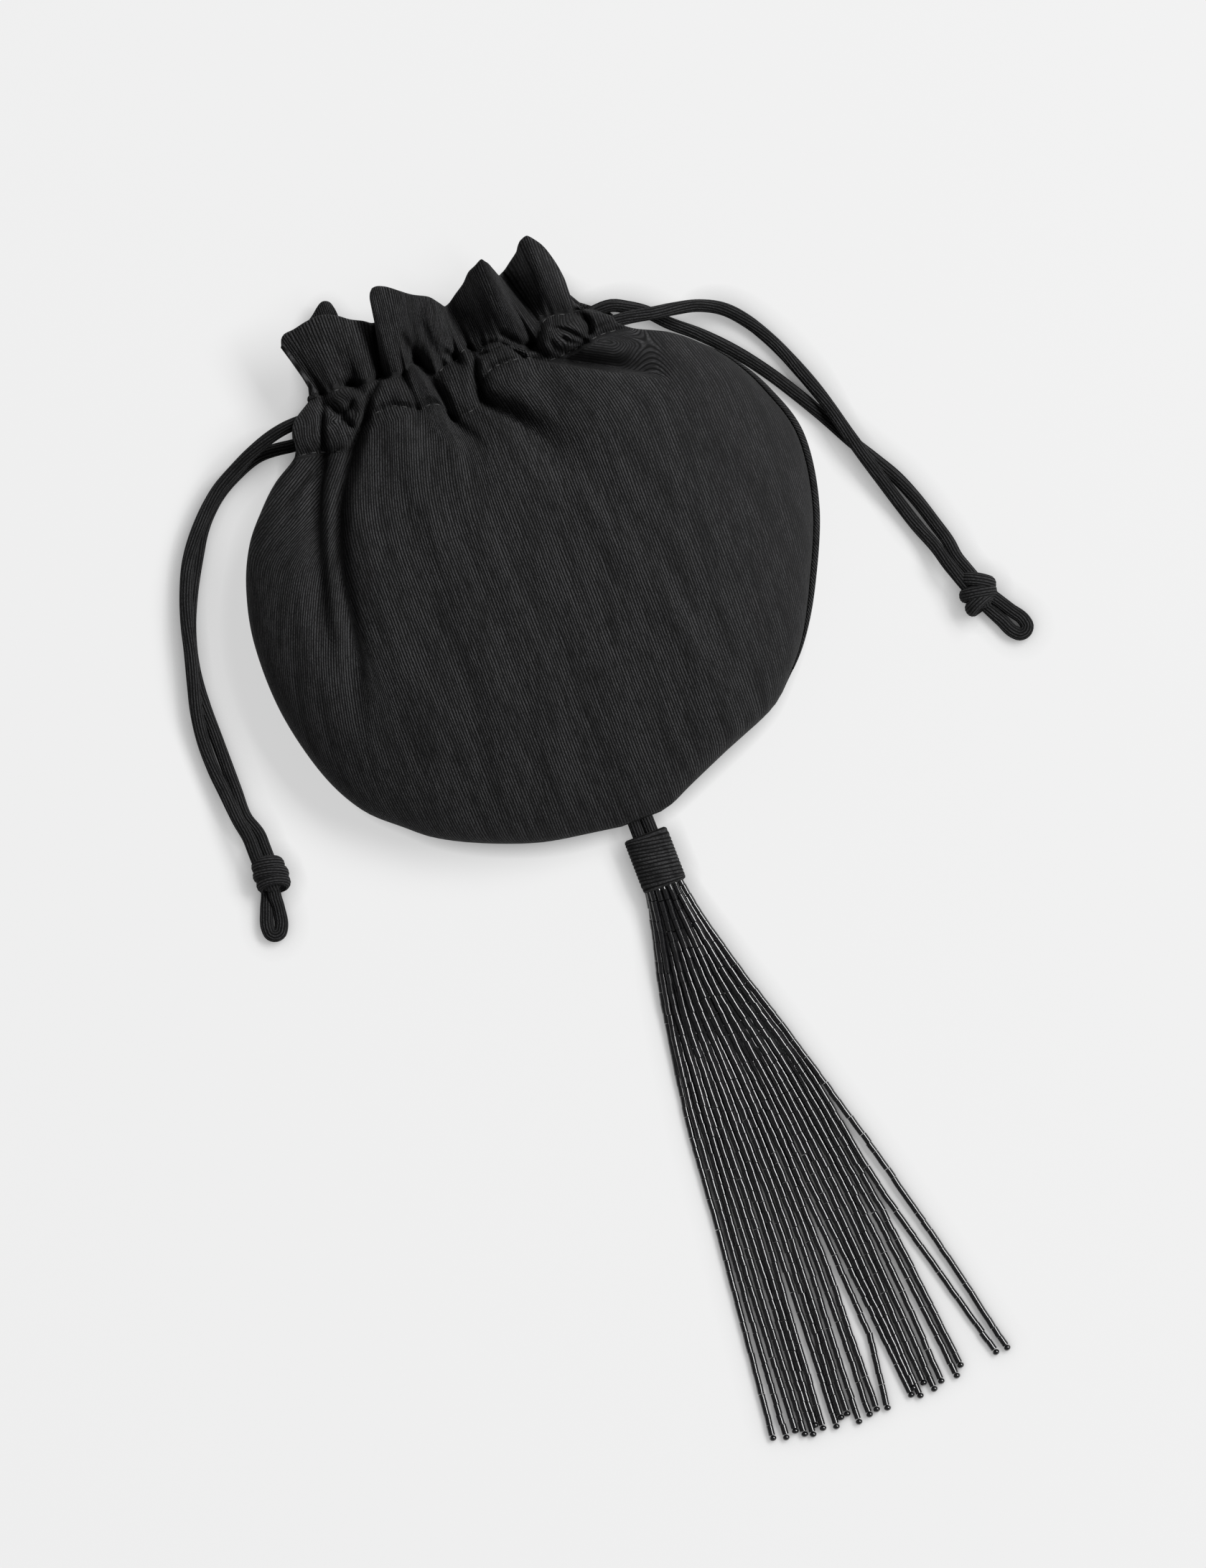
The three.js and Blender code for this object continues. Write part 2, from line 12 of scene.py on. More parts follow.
import bpy
import numpy as np
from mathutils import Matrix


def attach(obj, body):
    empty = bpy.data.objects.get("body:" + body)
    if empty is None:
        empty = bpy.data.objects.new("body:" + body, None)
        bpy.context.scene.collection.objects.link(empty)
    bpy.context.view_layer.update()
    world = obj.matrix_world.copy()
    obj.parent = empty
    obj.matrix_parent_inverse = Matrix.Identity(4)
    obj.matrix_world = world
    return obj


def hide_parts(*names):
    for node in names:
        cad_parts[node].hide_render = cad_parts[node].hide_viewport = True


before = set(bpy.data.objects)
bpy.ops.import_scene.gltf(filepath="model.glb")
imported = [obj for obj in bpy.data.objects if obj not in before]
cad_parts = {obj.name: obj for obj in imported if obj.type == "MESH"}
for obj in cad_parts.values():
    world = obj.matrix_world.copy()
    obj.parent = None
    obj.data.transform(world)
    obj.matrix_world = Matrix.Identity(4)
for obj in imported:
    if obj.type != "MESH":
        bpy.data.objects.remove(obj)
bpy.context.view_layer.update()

# %% [markdown]
# ## Camera
# A flat lay is photographed from straight above. A long lens high over the table keeps the
# picture almost free of perspective, so the outline of the bag is the same at its rim and
# at its crown. The lens follows from the height of the picture on the table.

# %% Camera
MM = 0.001
PICTURE_CENTRE = (-6.6 * MM, 24.5 * MM)
PICTURE_LENGTH = 546 * MM
CAMERA_HEIGHT = 20.0
CAMERA_TURN = math.radians(-21)

bpy.ops.object.select_all(action="DESELECT")
place = (*PICTURE_CENTRE, CAMERA_HEIGHT)
bpy.ops.object.camera_add(location=place, rotation=(0, 0, CAMERA_TURN))
camera = bpy.context.object
camera.data.sensor_width = 36
camera.data.lens = camera.data.sensor_width * CAMERA_HEIGHT / PICTURE_LENGTH
bpy.context.scene.camera = camera
print("lens, mm:", round(camera.data.lens, 1))

# %% [markdown]
# ## Helpers for smooth curves
# Sewn cloth and cords have no corners, so every table of sizes below is read through a
# smooth curve. The curve passes through its points, and its slope at each point comes from
# the neighbours on both sides.

# %% Smooth curves


def lerp(a, b, share):
    return a + (b - a) * share


def smoothstep(x, low, high):
    s = np.clip((np.asarray(x, float) - low) / (high - low), 0, 1)
    return s * s * (3 - 2 * s)


def curve(at, knots, values):
    """Values given at knots, read at other places along a smooth curve."""
    knots, values = np.asarray(knots, float), np.asarray(values, float)
    slope = np.gradient(values, knots, axis=0)
    i = np.clip(np.searchsorted(knots, at, side="right") - 1, 0, len(knots) - 2)
    width = np.diff(knots)[i]
    s = np.clip((at - knots[i]) / width, 0, 1)
    if values.ndim > 1:
        width, s = width[..., None], s[..., None]
    start = (1 + 2 * s) * (1 - s) ** 2 * values[i] + s * (1 - s) ** 2 * width * slope[i]
    end = s * s * (3 - 2 * s) * values[i + 1] + s * s * (s - 1) * width * slope[i + 1]
    return start + end


def lengths(points):
    """How far along a line each of its points is."""
    steps = np.linalg.norm(np.diff(points, axis=0), axis=1)
    return np.concatenate([[0], np.cumsum(steps)])


def route(points, step):
    """Points a step apart on a smooth curve through a few points."""
    points = np.asarray(points, float)
    along = lengths(points)
    fine = curve(np.linspace(0, along[-1], 40 * len(points)), along, points)
    far = lengths(fine)
    at = np.linspace(0, far[-1], max(2, round(far[-1] / step) + 1))
    return np.stack([np.interp(at, far, fine[:, k]) for k in range(points.shape[1])], axis=1)


# %% [markdown]
# ## Helpers for finished pieces
# All tables here are in millimetres from the middle of the pouch, as they were read. A
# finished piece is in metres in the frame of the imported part, with its place in its mesh. It
# gets one UV map, which says where each point lies on the flat cloth, it rides on the part's
# one body, and it stands for a CAD node.

# %% Meshes in the place of CAD nodes
BAG_TO_ROW = np.array([0.1, 108.2, 0.0])
CLOTH_MAP = "flat_cloth"


def in_row(points):
    """From the bag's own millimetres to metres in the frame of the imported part."""
    return (np.asarray(points, float) + BAG_TO_ROW) * MM


def made_mesh(name, points, faces, uv):
    """A smooth-shaded mesh object with one UV map, given for each point."""
    mesh = bpy.data.meshes.new(name)
    mesh.from_pydata(np.asarray(points).tolist(), [], faces)
    corners = np.zeros(len(mesh.loops), np.int32)
    mesh.loops.foreach_get("vertex_index", corners)
    layer = mesh.uv_layers.new(name=CLOTH_MAP)
    layer.data.foreach_set("uv", np.asarray(uv, np.float32)[corners].ravel())
    mesh.polygons.foreach_set("use_smooth", np.ones(len(mesh.polygons), bool))
    mesh.update()
    piece = bpy.data.objects.new(name, mesh)
    bpy.context.scene.collection.objects.link(piece)
    return piece


def dress(piece, node, material):
    """Puts a finished piece in the place of a CAD node."""
    piece.data.materials.clear()
    piece.data.materials.append(material)
    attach(piece, "root")
    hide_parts(node)
    triangles = sum(len(face.vertices) - 2 for face in piece.data.polygons)
    print(f"{piece.name}: {triangles} triangles for {node}")


# %% [markdown]
# ## Materials: one helper
# A material is a small graph of nodes. One function adds a node with its settings and
# joins its inputs, and colours are written as the hex values that a paint program shows.

# %% Node helper and colours


def linear(hex_colour):
    """An sRGB hex colour as linear red, green, blue and alpha."""
    parts = [int(hex_colour[i:i + 2], 16) / 255 for i in (1, 3, 5)]
    return [p / 12.92 if p <= 0.04045 else ((p + 0.055) / 1.055) ** 2.4 for p in parts] + [1.0]


def add_node(tree, kind, inputs=None, **settings):
    """Adds a node, sets it up, and fills or links its inputs."""
    node = tree.nodes.new(kind)
    for name, value in settings.items():
        setattr(node, name, value)
    for name, value in (inputs or {}).items():
        if isinstance(value, bpy.types.NodeSocket):
            tree.links.new(value, node.inputs[name])
        else:
            node.inputs[name].default_value = value
    return node


def new_material(name):
    """An empty material with its node tree and its Principled shader."""
    material = bpy.data.materials.new(name)
    material.use_nodes = True
    tree = material.node_tree
    return material, tree, tree.nodes["Principled BSDF"]


# %% [markdown]
# ## Ribbed cloth
# The cloth is a black ottoman: thick weft cords lie under a dense warp and make ribs about
# 1 mm apart. The eye sees grey crests and black grooves, crests that thicken, thin out
# and break off along their length, and a matt surface with a faint bloom at the edges.
# The grooves are coloured darker and the crests lighter: painted shade and painted light
# of the ribs, on top of their bump. At the right, where the light meets the cloth head
# on, that painted shade is faded, so the ribs are much fainter.
# The ribs follow the flat cut of the cloth, which each piece carries as its UV map in
# metres, so they bend with every fold.

# %% Ribbed cloth
RIB = 0.96 * MM
RIB_DEPTH = 0.26 * MM
# where the painted shade of the ribs fades for the head-on light: across the cloth, how far, and
# the tone it fades to
PAINTED_SHADE_FADE_SPAN, PAINTED_SHADE_FADE_MOST = (35 * MM, 95 * MM), 0.55
MEAN_TONE = 0.38
CORD = 4.6
CORD_RIBS = 14
CORD_RIB = math.pi * CORD / CORD_RIBS * MM


def ribbed(name, groove_shade, crest_light, rib, wander, slub_length):
    """A matt ribbed cloth. The ribs run along V of the piece's UV map."""
    material, tree, shader = new_material(name)
    flat = add_node(tree, "ShaderNodeUVMap", uv_map=CLOTH_MAP).outputs["UV"]
    across = add_node(tree, "ShaderNodeSeparateXYZ", {"Vector": flat}).outputs["X"]
    # patches of tone: size across and along the ribs, and detail
    sizes = {
        "drift": (5 * rib, 6 * slub_length, 2.0),
        "slub": (1.1 * rib, slub_length, 3.0),
        "thread": (0.42 * MM, 0.7 * MM, 1.0),
    }
    noise = {}
    for patch, (wide, long, detail) in sizes.items():
        inputs = {"Vector": flat, "Scale": (1 / wide, 1 / long, 1)}
        place = add_node(tree, "ShaderNodeMapping", inputs)
        inputs = {"Vector": place.outputs[0], "Scale": 1.0, "Detail": detail}
        noise[patch] = add_node(tree, "ShaderNodeTexNoise", inputs).outputs["Fac"]
    # the ribs are a wave across the cloth that wanders a little
    inputs = {0: noise["drift"], 1: wander, 2: across}
    moved = add_node(tree, "ShaderNodeMath", inputs, operation="MULTIPLY_ADD").outputs[0]
    inputs = {0: moved, 1: 2 * math.pi / rib}
    turns = add_node(tree, "ShaderNodeMath", inputs, operation="MULTIPLY").outputs[0]
    wave = add_node(tree, "ShaderNodeMath", {0: turns}, operation="SINE").outputs[0]
    inputs = {"Value": wave, "From Min": -1.0, "From Max": 0.5}
    tone = add_node(tree, "ShaderNodeMapRange", inputs, interpolation_type="SMOOTHSTEP").outputs[0]
    # each noise is stretched to a factor of the tone: from, to, least and most
    factors = [
        (noise["slub"], 0.32, 0.66, 0.36, 1.0),
        (noise["drift"], 0.32, 0.68, 0.58, 1.42),
        (noise["thread"], 0.3, 0.72, 0.45, 1.55),
    ]
    for value, low, high, least, most in factors:
        span = {"From Min": low, "From Max": high, "To Min": least, "To Max": most}
        factor = add_node(tree, "ShaderNodeMapRange", {"Value": value, **span}).outputs[0]
        inputs = {0: tone, 1: factor}
        tone = add_node(tree, "ShaderNodeMath", inputs, operation="MULTIPLY").outputs[0]
    # painted light: towards the right the rib colour is drawn to one mean tone, as the head-on
    # lamp flattens the ribs' shading there
    inputs = {"Value": across, "From Min": PAINTED_SHADE_FADE_SPAN[0], "From Max": PAINTED_SHADE_FADE_SPAN[1], "To Max": PAINTED_SHADE_FADE_MOST}
    painted_shade_fade = add_node(tree, "ShaderNodeMapRange", inputs).outputs[0]
    tone = add_node(tree, "ShaderNodeMix", {0: painted_shade_fade, 2: tone, 3: MEAN_TONE}).outputs[0]
    # painted shade and painted light: the grooves get the dark colour and the crests the light
    # one, the ribs' shading put into their colour
    inputs = {0: tone, 6: linear(groove_shade), 7: linear(crest_light)}
    colour = add_node(tree, "ShaderNodeMix", inputs, data_type="RGBA")
    inputs = {"Height": tone, "Distance": RIB_DEPTH * rib / RIB, "Strength": 0.75}
    bump = add_node(tree, "ShaderNodeBump", inputs)
    tree.links.new(colour.outputs[2], shader.inputs["Base Color"])
    tree.links.new(bump.outputs[0], shader.inputs["Normal"])
    shader.inputs["Roughness"].default_value = 0.9
    shader.inputs["Specular IOR Level"].default_value = 0.15
    shader.inputs["Sheen Weight"].default_value = 0.03
    shader.inputs["Sheen Roughness"].default_value = 0.45
    return material


PAINTED_GROOVE_SHADE = "#080808"
ottoman = ribbed("black_ottoman_cloth", PAINTED_GROOVE_SHADE, "#434344", RIB, 1.1 * RIB, 5 * MM)
turned_ottoman = ribbed(
    "turned_ottoman_cord", PAINTED_GROOVE_SHADE, "#383839", CORD_RIB, 0.1 * CORD_RIB, 6 * MM)
print("materials:", ottoman.name, turned_ottoman.name)

# %% [markdown]
# ## Drawstrings: where they lie
# Each drawstring is a turned tube of the cloth, 4.6 mm thick. It runs through both
# channels, comes out at one side as a pair, and the pair ends in a knot with a small loop.
# A limp cord lies where it was dropped, so its route is a list of points given one by one,
# the same as in the solid part. Run a leaves the front channel and lies on run b, which
# leaves the back channel and lies on the table.

# %% Routes of the drawstrings, in the bag's millimetres
CHANNEL_ENDS = {"left": -62.0, "right": 52.5}
EXIT_GAP = 0.15
LEAD = 4.0
FRONT_HEIGHT, MIDDLE_HEIGHT, BACK_HEIGHT = 19.2, 14.0, 6.0
INSIDE = 8.0
TURN_REACH = 9.0
LANES = {"left": (71.5, 65.0), "right": (65.0, 70.5)}
ROUTES = {
    "left_drawstring_a": [
        (-70, 70.8, 18.2), (-78, 68.3, 14.8), (-87, 64.2, 10.4), (-95.2, 59.8, 8),
        (-105.9, 50.4, 7), (-113.4, 40.8, 6.6), (-118.4, 30.3, 7), (-122, 20, 7.2),
        (-124.6, 10, 7.2), (-127.4, 0, 7), (-129.9, -10, 6), (-131.3, -20, 4.4),
        (-131.5, -30, 4.2), (-130.7, -40, 5.4), (-129.8, -50, 6.8),
    ],
    "left_drawstring_b": [
        (-70, 65.6, 5.2), (-78, 65.8, 3.2), (-87, 62.8, 2.5), (-94.6, 58.8, 2.5),
        (-104.4, 49.8, 2.4), (-110.9, 39.7, 2.4), (-116.5, 29.8, 2.4), (-121, 20, 2.4),
        (-124.2, 10, 2.4), (-126, 0, 2.4), (-126.6, -10, 2.4), (-126.7, -20, 2.4),
        (-126.8, -30, 2.4), (-126.9, -40, 2.4), (-127, -50, 2.5),
    ],
    "right_drawstring_a": [
        (60, 64.6, 18.2), (67.6, 63.2, 15.6), (76, 61.8, 11.4), (83.6, 60, 7.8),
        (91.8, 55.6, 4.6), (98, 48.6, 2.9), (102.5, 41, 2.4), (109, 25.9, 2.8),
        (112.9, 14.3, 5.6), (116.3, 1, 7.6), (119.2, -10, 7.2), (122, -20, 5.4),
        (124.9, -30, 3.6), (128, -40, 3.2), (131, -48, 5),
    ],
    "right_drawstring_b": [
        (60, 68.6, 4.6), (66, 64.6, 2.9), (72, 58.2, 2.4), (80.5, 50.7, 2.4), (89.4, 41.3, 2.4),
        (97.8, 30.2, 2.4), (105.6, 17.7, 2.4), (111.6, 6.9, 2.4), (117, -3.5, 2.4),
        (122, -12, 2.4), (126.6, -20, 2.4), (130.6, -30, 2.4), (133.6, -40, 2.4),
        (135.8, -48, 2.8),
    ],
}
KNOT_HEIGHT = 6.5
KNOTS = {
    "left": {"centre": (-126.6, -71.6, KNOT_HEIGHT), "heading": 0, "loop_heading": -15},
    "right": {"centre": (139.4, -68.2, KNOT_HEIGHT), "heading": 19, "loop_heading": 29},
}
PAIR_SIDE, PAIR_RISE = 1.9, 1.45


def cos_sin(degrees):
    return math.cos(math.radians(degrees)), math.sin(math.radians(degrees))


def turned(points, degrees, centre):
    """Points of a knot turned about the vertical and moved to the knot's place."""
    x, y, z = np.asarray(points, float).T
    c, s = cos_sin(degrees)
    return np.stack([c * x - s * y, s * x + c * y, z], axis=1) + np.asarray(centre)


def free_run(name):
    """The points of a free run, from its channel to the middle of its knot."""
    side, upper = name.split("_")[0], name.endswith("a")
    start = CHANNEL_ENDS[side] - math.copysign(INSIDE, CHANNEL_ENDS[side])
    lane, height = (LANES[side][0], FRONT_HEIGHT) if upper else (LANES[side][1], BACK_HEIGHT)
    way = -1 if upper else 1
    into_knot = [(way * PAIR_SIDE, back, -way * PAIR_RISE) for back in (13.9, 9.9, 4.0)]
    knot = KNOTS[side]
    ends = turned(into_knot, knot["heading"], knot["centre"])
    out = CHANNEL_ENDS[side] + math.copysign(LEAD, start)
    return np.array([(start, lane, height), (out, lane, height), *ROUTES[name], *ends])


# %% [markdown]
# ## A ribbed tube
# A cord could be a curve with a round bevel, but a turned tube of ribbed cloth isn't
# round: fourteen ribs run along it and a sewn seam leaves a groove. So the tube is made as
# rings of points that travel along the route without twisting, and each ring is the same
# ribbed outline. A little unevenness along the way keeps it from looking drawn.

# %% Tube of ribbed cloth
CORD_SIDES = 84
CORD_STEP = 1.6
RIB_RISE = 0.06
SEAM_DEPTH = 0.35
SEAM_WIDTH = 0.2
TURN_SWAY, SIZE_SWAY = 0.12, 0.012


def ring_directions(line):
    """Two directions across a line at each of its points, carried along without twist."""
    tangent = np.gradient(line, axis=0)
    tangent /= np.linalg.norm(tangent, axis=1)[:, None]
    first = np.zeros_like(line)
    side = np.cross(tangent[0], (0, 0, 1.0))
    if np.linalg.norm(side) < 0.1:
        side = np.cross(tangent[0], (1.0, 0, 0))
    for i, t in enumerate(tangent):
        side = side - t * side.dot(t)
        side /= np.linalg.norm(side)
        first[i] = side
    return first, np.cross(tangent, first)


def ribbed_tube(points, radius=CORD / 2, step=CORD_STEP, seam_at=1.2, flat=1.0, seed=1):
    """Points, faces, UV and middle line of a tube of ribbed cloth, in millimetres."""
    line = route(points, step)
    first, second = ring_directions(line)
    along = lengths(line)
    angle = np.linspace(0, 2 * math.pi, CORD_SIDES + 1)
    rng = np.random.default_rng(seed)
    sway = sum(rng.uniform(0.5, 1) * np.sin(along / rng.uniform(4, 14) + rng.uniform(0, 6))
               for _ in range(4))
    turn = seam_at + TURN_SWAY * sway
    ribs = RIB_RISE * (np.cos(CORD_RIBS * (angle - turn[:, None])) - 1)
    off_seam = (angle - turn[:, None] + math.pi) % (2 * math.pi) - math.pi
    seam = SEAM_DEPTH * np.exp(-(off_seam / SEAM_WIDTH) ** 2)
    size = radius * (1 + SIZE_SWAY * sway[:, None]) + ribs - seam
    ring = (first[:, None] * (size * np.cos(angle))[..., None]
            + second[:, None] * (flat * size * np.sin(angle))[..., None])
    across = (angle - turn[:, None]) * CORD / 2 + CORD_RIB / MM / 4
    uv = np.stack(np.broadcast_arrays(across, along[:, None]), axis=-1) * MM
    return (*capped(line[:, None] + ring, uv, line), line)


print("cord, mm:", CORD, "with ribs:", CORD_RIBS)

# %% Closed pieces made of tubes


def grid_faces(grid):
    """The numbers of a grid's points, and its four-sided faces."""
    count, wide = grid.shape[:2]
    index = np.arange(count * wide).reshape(count, wide)
    corners = [index[:-1, :-1], index[:-1, 1:], index[1:, 1:], index[1:, :-1]]
    return index, np.stack(corners, axis=-1).reshape(-1, 4)


def capped(grid, uv, line):
    """Rings of points as a tube with closed ends. Each ring's last point repeats its first."""
    index, quads = grid_faces(grid)
    faces = [tuple(quad) for quad in quads.tolist()]
    points, uv = grid.reshape(-1, 3), uv.reshape(-1, 2)
    for middle, rim, way in [(line[0], index[0], 1), (line[-1], index[-1], -1)]:
        centre = len(points)
        points = np.vstack([points, middle])
        uv = np.vstack([uv, uv[rim[0]]])
        faces += [(centre, int(b), int(a)) if way > 0 else (centre, int(a), int(b))
                  for a, b in zip(rim[:-1], rim[1:])]
    return points, faces, uv


def joined(parts):
    """Several meshes as one: their points, faces and UV."""
    points, faces, uv, count = [], [], [], 0
    for part in parts:
        points.append(part[0])
        faces += [tuple(i + count for i in face) for face in part[1]]
        uv.append(part[2])
        count += len(part[0])
    return np.vstack(points), faces, np.vstack(uv)


def close_tubes(piece):
    """Merges the seam of each tube and turns its faces outwards."""
    bpy.ops.object.select_all(action="DESELECT")
    piece.select_set(True)
    bpy.context.view_layer.objects.active = piece
    bpy.ops.object.mode_set(mode="EDIT")
    bpy.ops.mesh.select_all(action="SELECT")
    bpy.ops.mesh.remove_doubles(threshold=0.005 * MM)
    bpy.ops.mesh.normals_make_consistent(inside=False)
    bpy.ops.object.mode_set(mode="OBJECT")


def sewn(name, parts, node, material, centre=(0, 0, 0)):
    """One finished piece made of closed tubes, in the place of a CAD node."""
    points, faces, uv = joined(parts)
    piece = made_mesh(name, in_row(points + np.array(centre)), faces, uv)
    close_tubes(piece)
    dress(piece, node, material)
    return piece


# %% The free runs
cords = {}
for number, name in enumerate(ROUTES):
    tube = ribbed_tube(free_run(name), seed=number + 1, seam_at=1.0 + 0.9 * number)
    line = tube[-1]
    cords[name] = (sewn(name + "_cord", [tube], name, turned_ottoman), line)
    print(name, "length, mm:", round(lengths(line)[-1], 1))

# %% The runs inside the channels


def channel_run(side):
    """The points of a drawstring inside the channels: along the front and back again."""
    front, back = LANES[side]
    near = CHANNEL_ENDS[side] - math.copysign(INSIDE + 2 * EXIT_GAP, CHANNEL_ENDS[side])
    far = CHANNEL_ENDS["right" if side == "left" else "left"]
    turn = far - math.copysign(TURN_REACH, far)
    middle = (near + turn) / 2
    quarter, late = lerp(near, middle, 0.5), lerp(middle, turn, 0.6)
    bend = far - math.copysign(0.3 + CORD / 2, far)
    return [
        (near, front, FRONT_HEIGHT), (quarter, front, MIDDLE_HEIGHT),
        (middle, front, MIDDLE_HEIGHT), (late, front, MIDDLE_HEIGHT), (turn, front, FRONT_HEIGHT),
        (bend, (front + back) / 2, (FRONT_HEIGHT + BACK_HEIGHT) / 2),
        (turn, back, BACK_HEIGHT), (late, back, BACK_HEIGHT), (middle, back, BACK_HEIGHT),
        (quarter, back, BACK_HEIGHT), (near, back, BACK_HEIGHT),
    ]


for number, side in enumerate(LANES):
    tube = ribbed_tube(channel_run(side), step=3.0, seed=number + 11)
    node = side + "_drawstring_channel"
    sewn(side + "_channel_cord", [tube], node, turned_ottoman)

# %% [markdown]
# ## Knots
# Each pair is tied in one overhand knot. What shows is a ball of wraps: the left one like a
# small turban of side-by-side turns, the right one with a slanting turn across it. The end
# of the doubled cord leaves the ball as a flat loop. The wraps are ribbed tubes bent into
# rings about a core, and their ends hide underneath.

# %% Wraps and loops of the knots, in millimetres
WRAPS = {
    "left": [
        {"at": (0.9, 3.3), "wide": 4.0, "tall": 3.9, "heading": -14, "bow": 1.1},
        {"at": (0.7, 0.1), "wide": 4.5, "tall": 4.3, "heading": -14, "bow": 1.4},
        {"at": (0.5, -3.0), "wide": 4.1, "tall": 4.0, "heading": -12, "bow": 1.6},
    ],
    "right": [
        {"at": (1.0, 3.4), "wide": 4.6, "tall": 4.2, "heading": -30, "bow": 0.8},
        {"at": (-0.4, -0.2), "wide": 4.9, "tall": 4.3, "heading": -8, "bow": 0.4},
        {"at": (-1.2, -3.4), "wide": 3.9, "tall": 3.9, "heading": 22, "bow": 0.6},
    ],
}
# half the thickness of a pressed wrap along the knot, and its share outwards
WRAP_HALF, WRAP_FLAT = 2.5, 0.75
# half the width of the end loop near the knot and at its end, and how high one leg starts
LOOPS = {"left": (1.0, 2.3, 2.2), "right": (1.9, 2.6, 0.6)}
LOOP_LENGTH, LOOP_RADIUS, LOOP_FLAT = 23.5, 2.35, 0.88
CORE = (5.0, 6.0, 4.6)
print("wraps of each knot:", [len(wraps) for wraps in WRAPS.values()])

# %% Turns and end loop of a knot


def wrap_ring(at, wide, tall, heading, bow):
    """A turn of cord round the knot, a little bowed, that starts and ends underneath."""
    angle = np.radians(np.linspace(-176, 176, 25))
    ring = np.stack([wide * np.sin(angle), bow * np.cos(angle), tall * np.cos(angle)], axis=1)
    return turned(ring, heading, (*at, 0))


def end_loop(near, far, lift):
    """The doubled end of the cord: out of the knot, round and back, flat on the table."""
    end = LOOP_LENGTH - LOOP_RADIUS
    low = LOOP_RADIUS + 0.15 - KNOT_HEIGHT
    return [
        (near, -3, low + 2.6), (near + 0.2, -7, low + lift), (0.9 * far, -12, low + 0.2),
        (far, far - end, low), (0.72 * far, 0.3 * far - end, low), (0, -end, low),
        (-0.72 * far, 0.3 * far - end, low), (-far, far - end, low), (-0.9 * far, -12, low),
        (-near - 0.2, -7, low), (-near, -3, low + 0.2),
    ]


def taken(model):
    """The points and faces of a model, which is then removed."""
    points = np.array([v.co for v in model.data.vertices])
    faces = [tuple(face.vertices) for face in model.data.polygons]
    bpy.data.objects.remove(model)
    return points, faces


def core_ball(size):
    """The middle of the knot, which shows only in the grooves between the wraps."""
    bpy.ops.object.select_all(action="DESELECT")
    bpy.ops.mesh.primitive_uv_sphere_add(segments=24, ring_count=14, radius=1)
    points, faces = taken(bpy.context.object)
    points = points * size
    return points, faces, points[:, :2] * MM


# %% Knots
knots = {}
for side, knot in KNOTS.items():
    parts = [core_ball(CORE)]
    for number, wrap in enumerate(WRAPS[side]):
        ring, seed = wrap_ring(**wrap), 20 + number
        parts.append(ribbed_tube(ring, WRAP_HALF, 0.8, seam_at=3.6, flat=WRAP_FLAT, seed=seed))
    loop = turned(end_loop(*LOOPS[side]), knot["loop_heading"], (0, 0, 0))
    parts.append(ribbed_tube(loop, LOOP_RADIUS, 0.6, seam_at=2.2, flat=LOOP_FLAT, seed=30))
    name, node = side + "_overhand_knot", side + "_knot"
    knots[side] = sewn(name, parts, node, turned_ottoman, knot["centre"])

# %% [markdown]
# ## Free runs and their knots
# The loop below goes through the four free runs and picks out the knot of each side for
# its run a. The knots go with run a of each side.

# %% The knot of each free run
for name, (cord, line) in cords.items():
    side = name.split("_")[0]
    knot = [knots[side]] if name.endswith("a") else []

# %% [markdown]
# ## The pouch: sizes of the cloth
# The pouch is described by cross sections from the tassel to the upper stitch row of the
# channel, the same sizes as in the solid part. Above the sections, a ruffle goes on from
# the stitch row to a free edge with deep folds. Each entry of the ruffle says where a fold
# starts on the stitch row (foot) and where it ends on the free edge.

# %% Tables of the pouch, in the bag's millimetres
SECTION_NAMES = ("y", "left", "right", "lip", "front", "crown", "back", "sole")
SECTIONS = np.array([
    (-99.9, -6, 8.6, 0, 9, 9.4, 9, 8.6),
    (-98.5, -14.5, 14, 0, 9.2, 14, 9.2, 5.5),
    (-95, -34, 21.7, 0, 9.6, 19, 9.6, 2.6),
    (-88, -53.1, 38.4, 0, 10.2, 26, 10.2, 0.4),
    (-80.5, -67.6, 57.2, 0, 10.8, 31, 10.8, 0),
    (-73, -76.8, 66.4, 0.4, 11.4, 34.8, 11.4, 0),
    (-62, -88.3, 76.8, 1.2, 12, 39.2, 12, 0),
    (-45, -96.9, 87.3, 2.2, 13, 44, 13, 0),
    (-20, -102.5, 98.4, 2.4, 14, 47, 14, 0),
    (5, -102.6, 102.4, 2.4, 14, 47, 14, 0),
    (24, -98.4, 97, 2, 14, 44.5, 14, 0),
    (38, -91.8, 89, 1, 14, 41, 14, 0),
    (48, -83.3, 79.5, 0, 14, 37.5, 14, 0),
    (55, -75.6, 71, 0, 14.4, 33.5, 13.6, 0.4),
    (60.5, -66.5, 60, 0, 22, 26, 4.4, 1.6),
    (64.5, -64.5, 55.5, 0, 25.5, 29.5, 1.8, 0.4),
    (68.5, -64, 54.5, 0, 26, 30, 1.4, 0.3),
    (72.5, -61.5, 50, 0, 25, 29, 1.8, 0.4),
    (76, -54.5, 45.5, 0, 22.5, 25.5, 3, 1.6),
])
SHOULDER, SEAM_END, STITCH_LOW, STITCH_TOP = 11, 13, 14, 18
LOW_Y, TOP_Y = 60.5, 76.0
CLOTH = 1.2
SEAM_GAP = 0.3
PILLOW = 2.3
SOLE_REACH = 1.25
EDGE_CROWDING = 0.55

